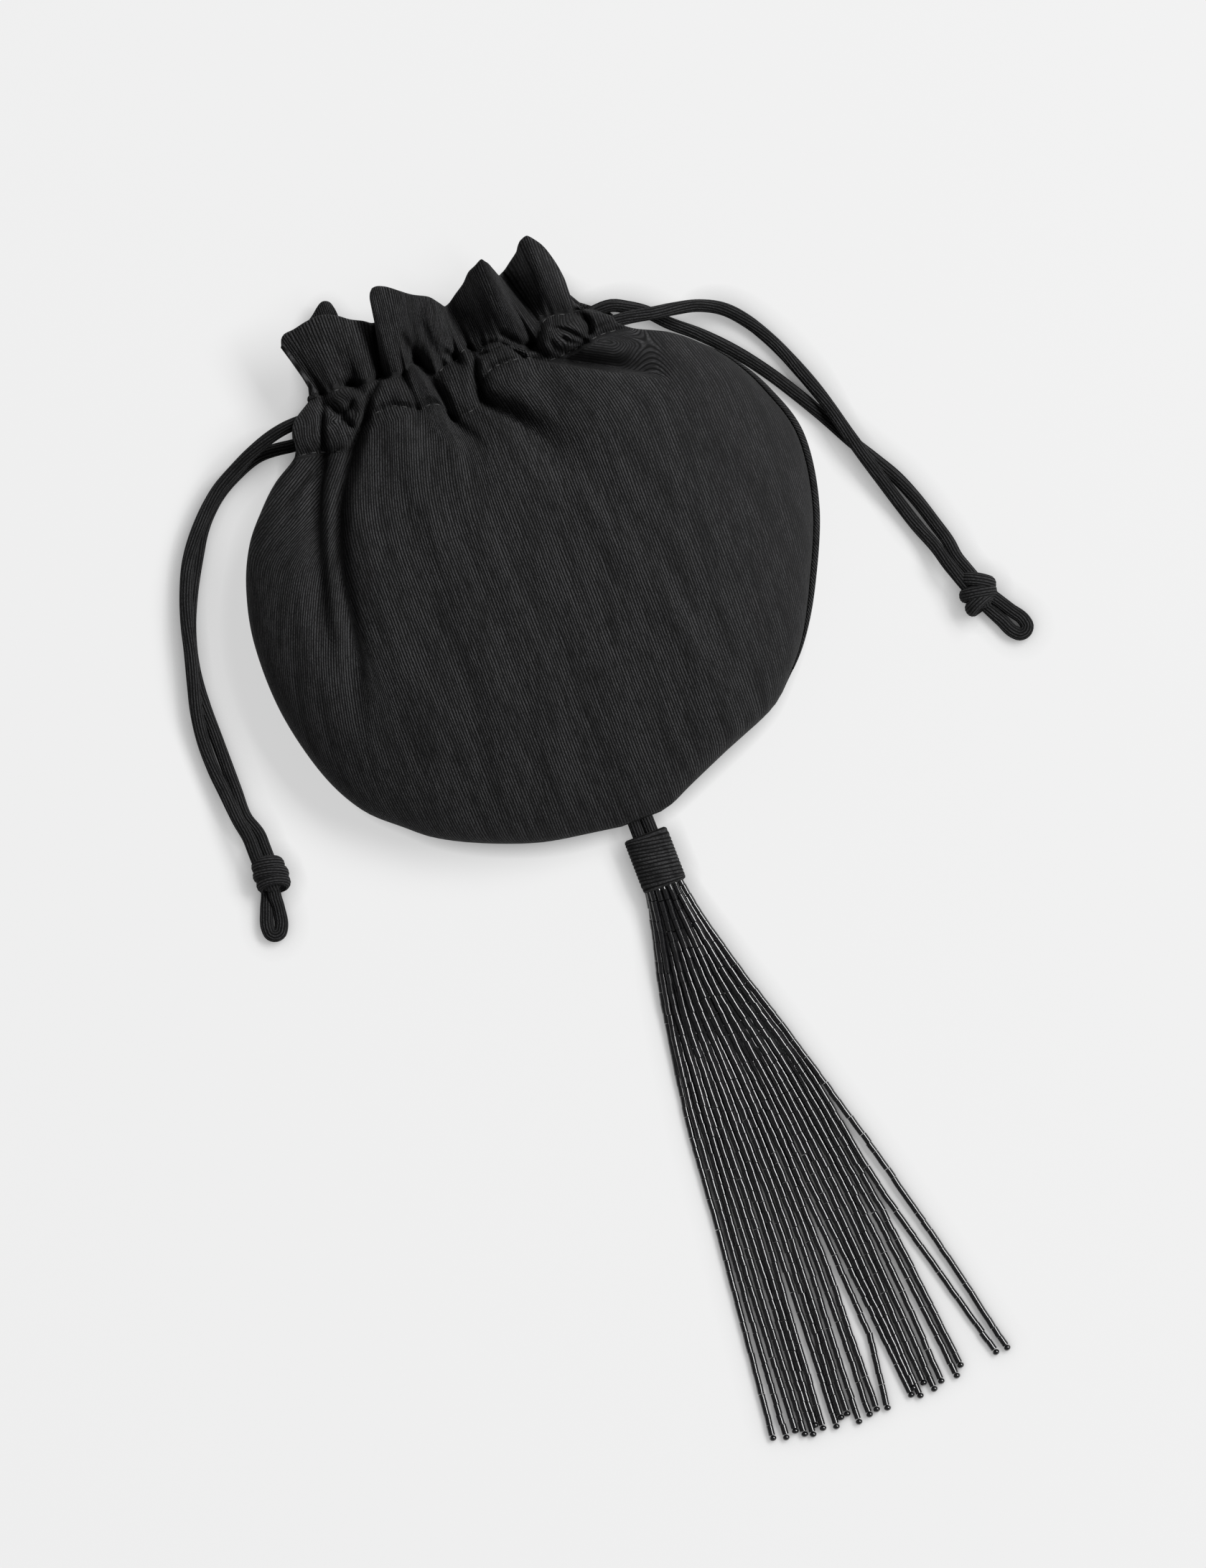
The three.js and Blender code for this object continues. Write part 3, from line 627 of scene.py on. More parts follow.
# foot, x, y and z of the free edge
FRONT_EDGE = np.array([
    (-54.5, -54.2, 77.8, 23), (-52.4, -51.2, 78.2, 24), (-51.4, -52.2, 85, 23.5),
    (-50.7, -54.4, 94.5, 22.5), (-50, -55.9, 100.2, 22), (-49.2, -55, 101.2, 22.5),
    (-47, -50.5, 102, 24.5), (-44, -45.5, 103, 26.5), (-40, -40, 103.2, 28),
    (-36.5, -35, 101.2, 28), (-33, -30.5, 98, 26.5), (-30, -26.5, 96, 24),
    (-28.3, -23.6, 94.2, 18), (-27.6, -23.2, 95.5, 22), (-27, -22.6, 99, 29),
    (-26.4, -21.8, 103.5, 33.5), (-25.4, -21, 105, 35), (-23, -18.8, 105.6, 35.5),
    (-20, -15.8, 104.6, 35), (-16.5, -11, 101, 33.5), (-13.5, -7.6, 98.4, 31.5),
    (-9, -2.5, 95.6, 31), (-4, 0, 93, 28), (1, 1.4, 91.2, 22), (4.4, 2.6, 90.9, 16.5),
    (6.5, 5.5, 93, 19), (10, 9.5, 95.6, 25), (14, 13, 98.8, 33), (17.5, 16, 100, 38.5),
    (19.6, 18.8, 101.2, 40.5), (23, 20.6, 100, 40), (26.5, 21.8, 97.2, 37),
    (28.8, 22.7, 94.8, 30), (29.6, 23.4, 94, 21), (30.2, 24.6, 94.6, 16), (31.2, 27.5, 96.8, 20),
    (33, 31, 99.4, 28), (35, 34, 102.6, 36), (37, 36.8, 103.2, 38), (39.5, 40, 100, 36),
    (41.6, 42.6, 93, 32), (43, 43.8, 85, 28), (44.4, 43.6, 77.5, 23), (45.5, 45, 74.8, 21),
])
BACK_EDGE = np.array([
    (-54.5, -51, 91, 6), (-48, -47.5, 101, 6), (-43, -43, 104.3, 6), (-38.5, -37.5, 107.7, 6.5),
    (-36, -35.4, 106.4, 6), (-34, -34.6, 101, 5), (-30, -32.5, 96, 4), (-19, -20, 92, 1),
    (-7, -8, 95, 6), (6, 4, 86, 1.5), (19, 20, 92, 6), (32, 31, 89, 1), (45.5, 40, 86, 6),
])


def section(row, name):
    """A size of the pouch at a row number, between the rows of the table too."""
    return curve(row, np.arange(len(SECTIONS)), SECTIONS[:, SECTION_NAMES.index(name)])


def rows_at(places):
    """The row numbers of places along the bag."""
    dense = np.linspace(0, STITCH_TOP, 4000)
    return np.interp(places, section(dense, "y"), dense)


# %% [markdown]
# ## Folds of the front panel
# A gathered cloth shows two kinds of relief: soft valleys that run down from the channel
# and sharp edges where one lobe lies over the next. Each is a stroke here, a line on the
# cloth with a depth at each of its points and its own width to the left and to the right,
# seen along the line. A narrow side makes an edge and a wide side a slope. A negative
# depth is a swelling.

# %% Strokes, in the bag's millimetres: path, depths, width to the left and to the right
# the folds that the ribs follow too
LEFT_FOLD = [
    (-27.6, 77), (-31, 73.6), (-34.4, 71), (-37, 67.6), (-40, 63.4), (-43.2, 60), (-46.8, 56),
    (-51.2, 50), (-55.8, 43), (-60, 33.5), (-65, 18.7), (-68.5, 0.5), (-71.5, -13), (-76, -28),
    (-80, -40),
]
NEXT_FOLD = [
    (-55.3, 59.5), (-57.4, 54.5), (-61, 48), (-65.3, 38.6), (-70.6, 23.5), (-75.4, 8.2),
    (-79, -5.4), (-82, -16),
]
RIGHT_FOLD = [
    (4.4, 74.5), (4.6, 69.5), (3.2, 65), (2.4, 61), (2, 57.5), (3.6, 53.6), (6.4, 49.6),
    (9.6, 45.6), (14.6, 38.8), (18, 30.7), (20.5, 21), (21, 10),
]
SMALL_FOLD = [(-10.2, 54), (-8.5, 50), (-5, 44), (-3, 36)]
STROKES = [
    # the deep fold beside the left lobe, from the mouth down
    (LEFT_FOLD, [4, 6, 8, 9, 10, 11, 12, 12.5, 12, 10.5, 8.5, 6.5, 4.5, 2, 0],
     [1, 1.1, 1.3, 1.6, 1.9, 2.2, 2.5, 2.8, 3, 3.2, 3.4, 3.6, 3.8, 4, 4],
     [1.4, 1.4, 1.3, 1.2, 1.1, 1.1, 1.2, 1.3, 1.6, 2, 2.6, 3.6, 5, 6, 6]),
    # its neighbours towards the left rim
    (NEXT_FOLD, [5, 8, 9, 8, 6.5, 5, 2, 0], [1.1, 1.2, 1.4, 1.8, 2.2, 2.6, 3, 3],
     [3, 4.5, 5, 5, 5, 5, 5, 5]),
    ([(-55.4, 57.2), (-51.5, 57.6), (-47.6, 56.4)], [2.5, 3, 2.5], 0.7, 0.7),
    ([(-62.5, 60.4), (-59.5, 60.2), (-56, 58.6)], [1.5, 2, 2], 0.7, 0.7),
    ([(-60, 57.5), (-66, 52.5), (-72, 47.5), (-79, 42)], [1.5, 3.5, 3.5, 0], 1.6, 3),
    # the fold beside the right lobe
    (RIGHT_FOLD, [6, 8, 8, 9, 10.5, 11, 11.5, 11, 9, 6, 3, 0],
     [1, 1, 1.3, 1.8, 2.4, 3.2, 4.4, 5.5, 6.5, 7, 7, 7],
     [1, 1, 1.4, 1.4, 1.6, 1.8, 2.2, 2.8, 3.6, 5, 6, 6]),
    # the pocket under the right end of the channel
    ([(25, 62.4), (30, 59.6), (35, 56.8), (40, 54.2), (45, 51.4), (50, 49), (55, 46.5), (60, 43.6),
      (66, 39.5)],
     [6, 10, 13.5, 14.5, 14, 12, 9, 5, 0], [2.2, 3.2, 3.8, 4.2, 4.6, 5, 6, 6.5, 7], 0.9),
    # the swelling of the right lobe along its upper edge
    ([(4, 60.5), (8, 63.2), (13, 64.2), (20, 64.2), (26, 61), (31, 57.4), (38, 53), (48.6, 48),
      (58, 43)],
     [-1, -2.5, -3, -3, -2.5, -2.5, -2.5, -2, 0], 1.2, 9),
    # the seam bulges over the tab of the tassel
    ([(0.9, -96), (0.8, -101)], [-1.6, -2.4], 5, 5),
    # a small fold below the channel
    (SMALL_FOLD, [4, 3.5, 2, 0], 1.6, 2.2),
    # the end of the left channel, and the twisted cloth beside it
    ([(-49.3, 77), (-51.2, 72.5), (-53.2, 68), (-54.6, 63.5), (-55.2, 59.5)],
     [5, 6, 6, 6, 5], 1.1, 1.1),
    ([(-48.4, 73.6), (-46.8, 70.6), (-45.4, 68)], [5, 7, 5], 1.4, 1.4),
    ([(-41.5, 78.4), (-38.6, 76.8), (-36.2, 73.8)], [5, 8, 5], 1.5, 1.5),
    ([(-46.5, 76.6), (-42, 75.8), (-39.4, 73.4), (-38.4, 69.6), (-39.8, 65.6), (-43, 62.6)],
     [-1, -2.4, -2.6, -2.6, -2.4, -1], 1.6, 1.6),
    ([(-44.5, 69.2), (-41.8, 70), (-40.4, 71.4)], [3.5, 3.5, 2], 0.8, 0.8),
    ([(-45, 66.6), (-44.2, 64.6), (-43.4, 63)], [3, 5, 3], 1.1, 1.1),
    ([(-50.5, 66.6), (-48, 66.2), (-46.4, 67)], [2, 3, 2], 0.8, 0.8),
    # the left lobe of the channel lies over the next one
    ([(-14.6, 78), (-14, 73.5), (-12.4, 68.5), (-11, 63.5), (-10.4, 59), (-10.2, 54)],
     [6, 8, 9, 9, 8, 5], 1.8, 0.9),
    ([(-20.4, 73.6), (-20.2, 67), (-20, 61)], [3, 1.5, 2], 1.1, 1.1),
    # folds that go on into the ruffle
    ([(-14.6, 77), (-14.9, 80), (-15.8, 85), (-16.4, 90)], [5, 5, 3.5, 0], 1.7, 1.5),
    ([(-7, 73), (-7.4, 80), (-8, 88), (-8.6, 93)], [2.5, 3, 2, 0], 1.6, 1.6),
    ([(-3.8, 75.8), (-1.8, 73.2), (-0.6, 71.4)], [5, 7, 5], 1.2, 1.2),
    ([(-27.6, 76), (-27.4, 82), (-26.2, 88), (-25, 92)], [5, 5, 3.5, 0], 1.0, 1.8),
    # the rolled strip between the third petal and the channel
    ([(11, 75), (15, 73.4), (18, 70.2), (21, 67.2), (24, 65.6)],
     [-1.5, -3, -3, -3, -1], 1.3, 1.3),
    ([(15.5, 71.6), (18.4, 68.2), (21, 65.2)], [4, 6, 4], 0.9, 0.9),
    ([(16.8, 75.2), (19.6, 71.6), (22.6, 68.6), (25, 67)], [3, 4.5, 5, 5], 0.9, 0.9),
    ([(6, 71), (10, 70.6), (14, 71)], [2, 3, 2], 0.7, 0.7),
    ([(24.6, 68), (26.6, 65.6), (27.6, 63.2)], [7, 8, 5], 1.3, 1.3),
    # the round puff at the right and the end of the channel
    ([(34, 68), (37, 67)], [-3, -3], 6, 6),
    ([(33.5, 70.5), (36.5, 69), (39.6, 66.4), (42, 63.2)], [1.5, 3.5, 4, 3.5], 0.9, 0.9),
    ([(31.5, 66), (32.6, 63), (35, 61.2), (39, 60.9), (42.6, 62)], [2, 4, 5, 5.5, 4], 1.0, 1.0),
    ([(36, 66), (38, 63.6), (40.4, 62.4)], [3, 3, 2], 0.8, 0.8),
    ([(43.6, 73.2), (45.4, 70), (46.2, 67.2), (45, 64.6)], [5, 8, 8, 5], 1.1, 1.1),
    ([(43, 63.5), (47, 64.6), (52, 65.3)], [2.5, 2.5, 1], 0.9, 0.9),
]
# places of the two stitch rows, x and y
LOW_STITCHES = np.array([
    (-66.5, 60.5), (-62, 60.3), (-57, 59), (-52, 57.3), (-47.5, 57), (-44, 59.5), (-40, 62.8),
    (-36, 64.4), (-33, 65.1), (-27, 64.8), (-24, 63.2), (-20, 60.8), (-14, 60.4), (-12, 58.8),
    (-10.4, 54.2), (-6.5, 53.4), (-3, 53.6), (0, 54.6), (2.5, 58), (5, 62.3), (8, 64.6), (14, 65),
    (20, 64.6), (24, 63), (28, 60.8), (33, 60.4), (38, 60.8), (43, 61.5), (48, 62.3), (53, 62),
    (60, 60.5),
])
TOP_STITCHES = np.array([
    (-64, 76), (-58, 77), (-50.5, 77.4), (-46, 77.5), (-41, 77), (-37, 76), (-33, 75.2),
    (-28, 75.6), (-25, 74.6), (-21.6, 73.4), (-20.3, 72.9), (-19, 75), (-17, 76), (-14.8, 75.4),
    (-12.5, 72), (-10, 69.9), (-7.5, 71), (-4, 71.7), (-1, 72.2), (2, 74.6), (5, 73.2),
    (6.5, 71.6), (10, 73.5), (14, 73.4), (17, 71.2), (20, 68.4), (23, 66.3), (25.5, 66),
    (28, 69.5), (30.5, 73), (35.5, 74.6), (40, 73.4), (43.5, 72.8), (48, 73), (55, 72),
])

print("folds and swellings:", len(STROKES))

# %% How a stroke presses the cloth


def stroke_depth(x, y, path, depths, left, right):
    """How deep a stroke presses each place of the cloth."""
    path = np.asarray(path, float)
    knots = lengths(path)
    at = np.linspace(0, knots[-1], int(knots[-1] / 0.4) + 2)
    line = curve(at, knots, path)
    sizes = [np.broadcast_to(values, len(path)) for values in (depths, left, right)]
    depth, wide_left, wide_right = (np.interp(at, knots, values) for values in sizes)
    heading = np.gradient(line, axis=0)
    reach = 3 * max(wide_left.max(), wide_right.max())
    low, high = line.min(0) - reach, line.max(0) + reach
    near = (x > low[0]) & (x < high[0]) & (y > low[1]) & (y < high[1])
    dx, dy = x[near][:, None] - line[:, 0], y[near][:, None] - line[:, 1]
    i = (dx * dx + dy * dy).argmin(1)
    k = np.arange(len(i))
    side = heading[i, 0] * dy[k, i] - heading[i, 1] * dx[k, i]
    away = np.hypot(dx[k, i], dy[k, i]) / np.where(side > 0, wide_left[i], wide_right[i])
    result = np.zeros(x.shape)
    result[near] = depth[i] * np.exp(-away ** 2)
    return result


# %% [markdown]
# ## The shape of the front panel
# The panel is a grid. Its rows run across the bag and its columns from the tassel to the
# free edge. On the pouch the columns spread over the cross section, and at the mouth they
# follow the folds of the ruffle, so that the grid is fine where the cloth is busy. The
# channel between the stitch rows swells over the cord inside it.

# %% Outer face of the front panel
FRONT_COLUMNS = 300
FRONT_ROWS = np.concatenate([
    np.linspace(SECTIONS[0, 0], -88, 12, False), np.linspace(-88, 30, 50, False),
    np.linspace(30, TOP_Y, 64),
])
RUFFLE_RISES = np.linspace(0, 1, 31)[1:]
CHANNEL_SWELL = 2.2
SHOULDER_FILL, SHOULDER_REACH = 4.4, 3.4
PULL_FROM = 32
STITCH_SINK, STITCH_REACH = 0.9, 1.0
PUCKER, PUCKER_REACH = 0.45, (3.0, 3.5)
PUCKER_WAVES = (2.3, 2.9, 3.7, 5.1)
DRAPE = 1.0
DRAPE_WAVES = (14, 19, 27, 41)
ABOVE_CORD = (17.8, 23.4)


def edge_columns(edge, columns):
    """Feet and free-edge places of the columns, spread evenly over the free edge."""
    far = lengths(edge * (1.5, 1, 1, 1))
    at = np.linspace(0, far[-1], columns)
    return np.interp(at, far, edge[:, 0]), curve(at, far, edge[:, 1:])


def spread(row, foot):
    """How far across the section each column is, from 0 at the left to 1 at the right."""
    share = np.linspace(0, 1, len(foot))
    on_pouch = lerp(share, (1 - np.cos(np.pi * share)) / 2, EDGE_CROWDING)
    left, right = section(STITCH_TOP, "left"), section(STITCH_TOP, "right")
    return lerp(on_pouch, (foot - left) / (right - left), smoothstep(row, SHOULDER, STITCH_LOW))


def arched(across):
    return np.maximum(0, 1 - np.abs(2 * across - 1) ** PILLOW) ** (1 / PILLOW)


def ripple(place, seed, waves):
    """An uneven ripple made of a few wave lengths."""
    rng = np.random.default_rng(seed)
    return sum(np.sin(2 * np.pi * place / w + rng.uniform(0, 6)) for w in waves) / len(waves)


# %% Smooth form of the front panel
front_foot, front_tip = edge_columns(FRONT_EDGE, FRONT_COLUMNS)
row = rows_at(FRONT_ROWS)[:, None]
across = spread(row, front_foot)
arch = arched(across)
x = lerp(section(row, "left"), section(row, "right") - section(row, "lip"), across)
flat_y = np.broadcast_to(section(row, "y"), x.shape)
low_y = curve(x, LOW_STITCHES[:, 0], LOW_STITCHES[:, 1])
top_y = curve(x, TOP_STITCHES[:, 0], TOP_STITCHES[:, 1])
in_channel = np.clip((flat_y - LOW_Y) / (TOP_Y - LOW_Y), 0, 1)
pulled = (low_y - LOW_Y) * smoothstep(flat_y, PULL_FROM, LOW_Y) * np.sqrt(arch)
y = np.where(flat_y > LOW_Y, lerp(low_y, top_y, in_channel), flat_y + pulled)
mouth = smoothstep(row, SEAM_END, STITCH_LOW)
smooth_z = lerp(section(row, "front") + SEAM_GAP / 2, section(row, "crown"), arch)
smooth_z = smooth_z + CHANNEL_SWELL * np.sin(np.pi * in_channel)
slow = x + 0.18 * np.tanh(x / 25) * flat_y + 5 * np.sin(flat_y / 31)
smooth_z = smooth_z + DRAPE * arch ** 2 * ripple(slow, 8, DRAPE_WAVES)
filled = np.exp(-((flat_y - LOW_Y) / SHOULDER_REACH) ** 2)
smooth_z = smooth_z + SHOULDER_FILL * np.sqrt(arch) * filled

# %% Folds pressed into it


def relief(x, y, low_y, top_y):
    """How far folds, stitches and puckers lower the cloth."""
    low, top = y - low_y, y - top_y
    at_stitches = np.exp(-(low / STITCH_REACH) ** 2) + np.exp(-(top / STITCH_REACH) ** 2)
    by_stitches = np.exp(-(low / PUCKER_REACH[0]) ** 2) + np.exp(-(top / PUCKER_REACH[1]) ** 2)
    puckers = PUCKER * by_stitches * (1 + ripple(x, 3, PUCKER_WAVES))
    folds = sum(stroke_depth(x, y, *stroke) for stroke in STROKES)
    return folds + STITCH_SINK * at_stitches + puckers


drop = relief(x, y, low_y, top_y)
z = smooth_z - drop * lerp(np.sqrt(arch), 1, mouth)
to_end = np.minimum(x - CHANNEL_ENDS["left"], CHANNEL_ENDS["right"] - x)
lowest = lerp(*ABOVE_CORD, 1 - smoothstep(to_end, 4, 18)) * mouth
z = lowest + np.logaddexp(0, 1.5 * (z - lowest)) / 1.5
print("front pouch grid:", x.shape, "height, mm:", round(z.min(), 1), "to", round(z.max(), 1))

# %% [markdown]
# ## Ruffle and flat cut
# Above the upper stitch row, every column runs from its foot to its place on the free
# edge. The flat cut of the cloth, which the ribs follow, is measured on the panel: across
# the bag it is the length of the cloth, which is longer than the gathered channel, and
# along the bag it is the way from the tassel.

# %% Ruffle, and the flat cut as UV
GATHER, RUFFLE_GATHER = 1.07, 1.3
GATHER_FROM = 26
RUFFLE_RISE = 2.2


def with_ruffle(pouch, tip, rises, power):
    """The rows of a pouch with those of its ruffle, which stands up soon after the stitches."""
    rows = []
    for rise in rises:
        place = lerp(pouch[-1], tip, rise)
        place[:, 2] = lerp(pouch[-1][:, 2], tip[:, 2], 1 - (1 - rise) ** power)
        rows.append(place)
    return np.concatenate([pouch, np.array(rows)])


front_pouch = np.stack([x, y, z], axis=-1)
front = with_ruffle(front_pouch, front_tip, RUFFLE_RISES, RUFFLE_RISE)
ruffle = front[len(front_pouch):]
ruffle_drop = relief(ruffle[..., 0], ruffle[..., 1], np.full(ruffle.shape[:2], -99.0), top_y[-1:])
ruffle[..., 2] -= ruffle_drop * (1 - RUFFLE_RISES[:, None] ** 2)


def flat_cut(x, y, smooth_z, ruffle, turn=None):
    """The place of each point on the flat cloth, in millimetres: across and along."""
    step = np.hypot(np.diff(x, axis=1), np.diff(smooth_z, axis=1))
    far = np.concatenate([np.zeros((len(x), 1)), np.cumsum(step, axis=1)], axis=1)
    middle = np.array([np.interp(0, xr, fr) for xr, fr in zip(x, far)])
    u = lerp(far - middle[:, None], GATHER * x, smoothstep(y, GATHER_FROM, LOW_Y))
    if turn:
        u = turn(u, x, y)
    v = y.copy()
    rise = np.linalg.norm(ruffle - ruffle[:1], axis=-1)[1:]
    u = np.concatenate([u, u[-1:] * lerp(1, RUFFLE_GATHER, smoothstep(rise, 0, 2))])
    v = np.concatenate([v, v[-1:] + rise])
    return np.stack([u, v], axis=-1)


# %% [markdown]
# ## Ribs that follow the folds
# In a gathered cloth the ribs lean towards the channel, and they break off at a fold that
# hides some of the cloth. Twisted cloth turns its ribs with it. The flat cut is therefore
# shifted beside each large fold by the cloth that the fold takes in, and turned in a few
# small places. A painted pattern couldn't do this, as the ribs have to stay ribs.

# %% Lean and turn of the ribs
# places where the ribs are turned: x, y, reach and degrees
TURNED = [
    (-44.5, 74, 3.5, -45), (-40.2, 65, 3.2, 50), (-48.7, 68.7, 1.9, 80), (-52, 69.5, 2.6, 35),
    (-58, 68, 5.5, 20), (37.5, 67.5, 4.5, -50), (32, 68, 3, 15),
]
# cloth taken in beside a fold: how fast it grows, and the y where it starts and ends
RIGHT_TAKEN, LEFT_TAKEN, SIDE_TAKEN = (0.005, 28, 58), (0.0038, 10, 60), (0.0036, -60, 50)
SLANT_GATHER = 1.05


def taken_in(y, rate, low, high):
    """How much cloth a fold has taken in, which makes the ribs lean more and more."""
    return rate * np.clip(y - low, 0, high - low) ** 2


def beside(x, y, fold):
    """How far right of a fold each place is."""
    path = np.array(fold)[::-1]
    return x - np.interp(y, path[:, 1], path[:, 0])


def slanted(u, x, y, degrees, offset, share):
    """Ribs that run at a slant where share is 1."""
    c, s = cos_sin(degrees)
    return lerp(u, offset + SLANT_GATHER * (c * x - s * y), share)


def turned_ribs(u, x, y):
    """Lets the ribs of the front panel follow its folds."""
    low = curve(x, LOW_STITCHES[:, 0], LOW_STITCHES[:, 1])
    under_channel = 1 - smoothstep(y - low, -0.9, -0.3)
    right_lobe = smoothstep(beside(x, y, RIGHT_FOLD), 0.3, 2)
    left_lobe = 1 - smoothstep(beside(x, y, SMALL_FOLD), -9, 1.5)
    fold_end = 1.2 + 14 * smoothstep(-y, -5, 40)
    left_of_lobe = 1 - smoothstep(beside(x, y, LEFT_FOLD), 0.2, fold_end)
    left_of_strip = 1 - smoothstep(beside(x, y, NEXT_FOLD), -0.2, 0.8)
    u = u + taken_in(y, *RIGHT_TAKEN) * right_lobe
    u = u - taken_in(y, *LEFT_TAKEN) * left_lobe
    u = u - taken_in(y, *SIDE_TAKEN) * left_of_lobe
    for cx, cy, reach, degrees in TURNED:
        c, s = cos_sin(degrees)
        near = np.exp(-((x - cx) ** 2 + (y - cy) ** 2) / reach ** 2)
        u = u + GATHER * near * ((x - cx) * (c - 1) - (y - cy) * s)
    shoulder = smoothstep(y, 20, 40) * under_channel
    u = slanted(u, x, y, 41, -27.5, shoulder * left_of_lobe * (1 - left_of_strip))
    u = slanted(u, x, y, 60, -46.5, shoulder * left_of_strip)
    off = 0.49 * (x - 26) + 0.87 * (y - 62)
    pocket = smoothstep(off, -0.6, 0.8) * (1 - smoothstep(off, 9, 16))
    pocket = pocket * smoothstep(x, 26, 31) * (1 - smoothstep(x, 50, 68))
    return slanted(u, x, y, -60.6, 1.4, pocket * under_channel)


front_cut = flat_cut(x, y, smooth_z, front[len(front_pouch) - 1:], turned_ribs)
print("front panel grid:", front.shape)
print("flat cut, mm:", np.ptp(front_cut.reshape(-1, 2), axis=0).round())

# %% [markdown]
# ## A wall of cloth
# A sheet with no thickness would show a paper edge at the ruffle. The grid of the outer
# face therefore gets an inner face 1.2 mm under it and a rounded rim all round, which
# closes the mesh. It is what the Solidify modifier does, but the seam edges stay level so
# that the two panels meet there.

# %% Closed wall under a grid
RIM_REACH = 0.45


def soft(field, passes):
    """A grid of vectors with each one averaged with its neighbours."""
    for _ in range(passes):
        wide = np.pad(field, ((1, 1), (1, 1), (0, 0)), mode="edge")
        up, down, left, right = wide[2:, 1:-1], wide[:-2, 1:-1], wide[1:-1, 2:], wide[1:-1, :-2]
        field = (2 * field + up + down + left + right) / 6
    return field


def cloth_wall(name, outer, cut, side, seam_rows, thickness=CLOTH):
    """A closed mesh under a grid of outer points. side is 1 where the outer face looks up."""
    normal = side * np.cross(np.gradient(outer, axis=1), np.gradient(outer, axis=0))
    normal /= np.linalg.norm(normal, axis=-1)[..., None] + 1e-9
    normal = soft(normal, 2)
    normal[:seam_rows, [0, -1], 2] = 0
    normal[0, :, 2] = 0
    normal /= np.linalg.norm(normal, axis=-1)[..., None] + 1e-9
    inner = outer - thickness * normal
    index, quads = grid_faces(outer)
    loop = np.concatenate([index[0, :-1], index[:-1, -1], index[-1, :0:-1], index[:0:-1, 0]])
    away = np.zeros_like(outer)
    away[-1] = outer[-1] - outer[-2]
    away[seam_rows:, 0] += outer[seam_rows:, 0] - outer[seam_rows:, 1]
    away[seam_rows:, -1] += outer[seam_rows:, -1] - outer[seam_rows:, -2]
    away /= np.linalg.norm(away, axis=-1)[..., None] + 1e-9
    rim = ((outer + inner) / 2 + RIM_REACH * thickness * away).reshape(-1, 3)[loop]
    points = np.vstack([outer.reshape(-1, 3), inner.reshape(-1, 3), rim])
    under = index.size
    mid = 2 * under + np.arange(len(loop))
    ahead, mid_ahead = np.roll(loop, -1), np.roll(mid, -1)
    upper = np.stack([ahead, loop, mid, mid_ahead], axis=1)
    lower = np.stack([mid_ahead, mid, loop + under, ahead + under], axis=1)
    faces = np.vstack([quads, quads[:, ::-1] + under, upper, lower])
    if side < 0:
        faces = faces[:, ::-1]
    flat = cut.reshape(-1, 2) * MM
    uv = np.vstack([flat, flat, flat[loop]])
    return made_mesh(name, in_row(points), faces.tolist(), uv)


seam_rows = int((FRONT_ROWS < SECTIONS[SEAM_END, 0]).sum())
front_cloth = cloth_wall("front_cloth", front, front_cut, 1, seam_rows)
dress(front_cloth, "front_panel", ottoman)

# %% [markdown]
# ## The back panel
# The back panel lies on the table, so it is flat in the middle and turns up to the seam.
# Only its ruffle tips and its rolled seam on the right show from above. It is made as the
# front panel is, with a coarser grid.

# %% Back panel
BACK_COLUMNS = 150
BACK_ROWS = np.concatenate([
    np.linspace(SECTIONS[0, 0], -88, 10, False), np.linspace(-88, 40, 44, False),
    np.linspace(40, TOP_Y, 22),
])
BACK_RISES = np.linspace(0, 1, 15)[1:]

back_foot, back_tip = edge_columns(BACK_EDGE, BACK_COLUMNS)
row = rows_at(BACK_ROWS)[:, None]
across = spread(row, back_foot)
back_x = lerp(section(row, "left"), section(row, "right"), across)
back_y = np.broadcast_to(section(row, "y"), back_x.shape).copy()
sunk = np.minimum(1, arched(across) * SOLE_REACH)
back_z = lerp(section(row, "back") - SEAM_GAP / 2, section(row, "sole"), sunk)
back_pouch = np.stack([back_x, back_y, back_z], axis=-1)
back = with_ruffle(back_pouch, back_tip, BACK_RISES, 1.0)
back_cut = flat_cut(back_x, back_y, back_z, back[len(back_pouch) - 1:])
seam_rows = int((BACK_ROWS < SECTIONS[SEAM_END, 0]).sum())
back_cloth = cloth_wall("back_cloth", back, back_cut, -1, seam_rows)
dress(back_cloth, "back_panel", ottoman)

# %% [markdown]
# ## The rolled seam
# At the right the back panel is a little wider than the front panel, so the rolled edge of
# its seam shows as a strip up to 2.4 mm wide with short slanting ribs. A curve with a round
# bevel would be too thick at its ends, so it is a tube of flat rings that fills the space
# between the two edges.

# %% Rolled seam
ROLL_ROWS = np.linspace(-70, 43, 90)
ROLL_SIDES = 12
ROLL_HALF = 1.1

row = rows_at(ROLL_ROWS)
half = section(row, "lip") / 2
line = np.stack([section(row, "right") - half, ROLL_ROWS, section(row, "back")], axis=1)
heading = np.gradient(line, axis=0)
heading /= np.linalg.norm(heading, axis=1)[:, None]
outward = np.stack([heading[:, 1], -heading[:, 0], np.zeros(len(line))], axis=1)
angle = np.linspace(0, 2 * math.pi, ROLL_SIDES + 1)
across = half[:, None] * np.cos(angle)
rise = np.outer(np.sin(angle), (0, 0, ROLL_HALF))
rings = line[:, None] + outward[:, None] * across[..., None] + rise
along = np.broadcast_to(lengths(line)[:, None], across.shape)
uv = np.stack([0.8 * along + 0.9 * across, along], axis=-1) * MM
sewn("back_seam_roll", [capped(rings, uv, line)], "back_panel", ottoman)

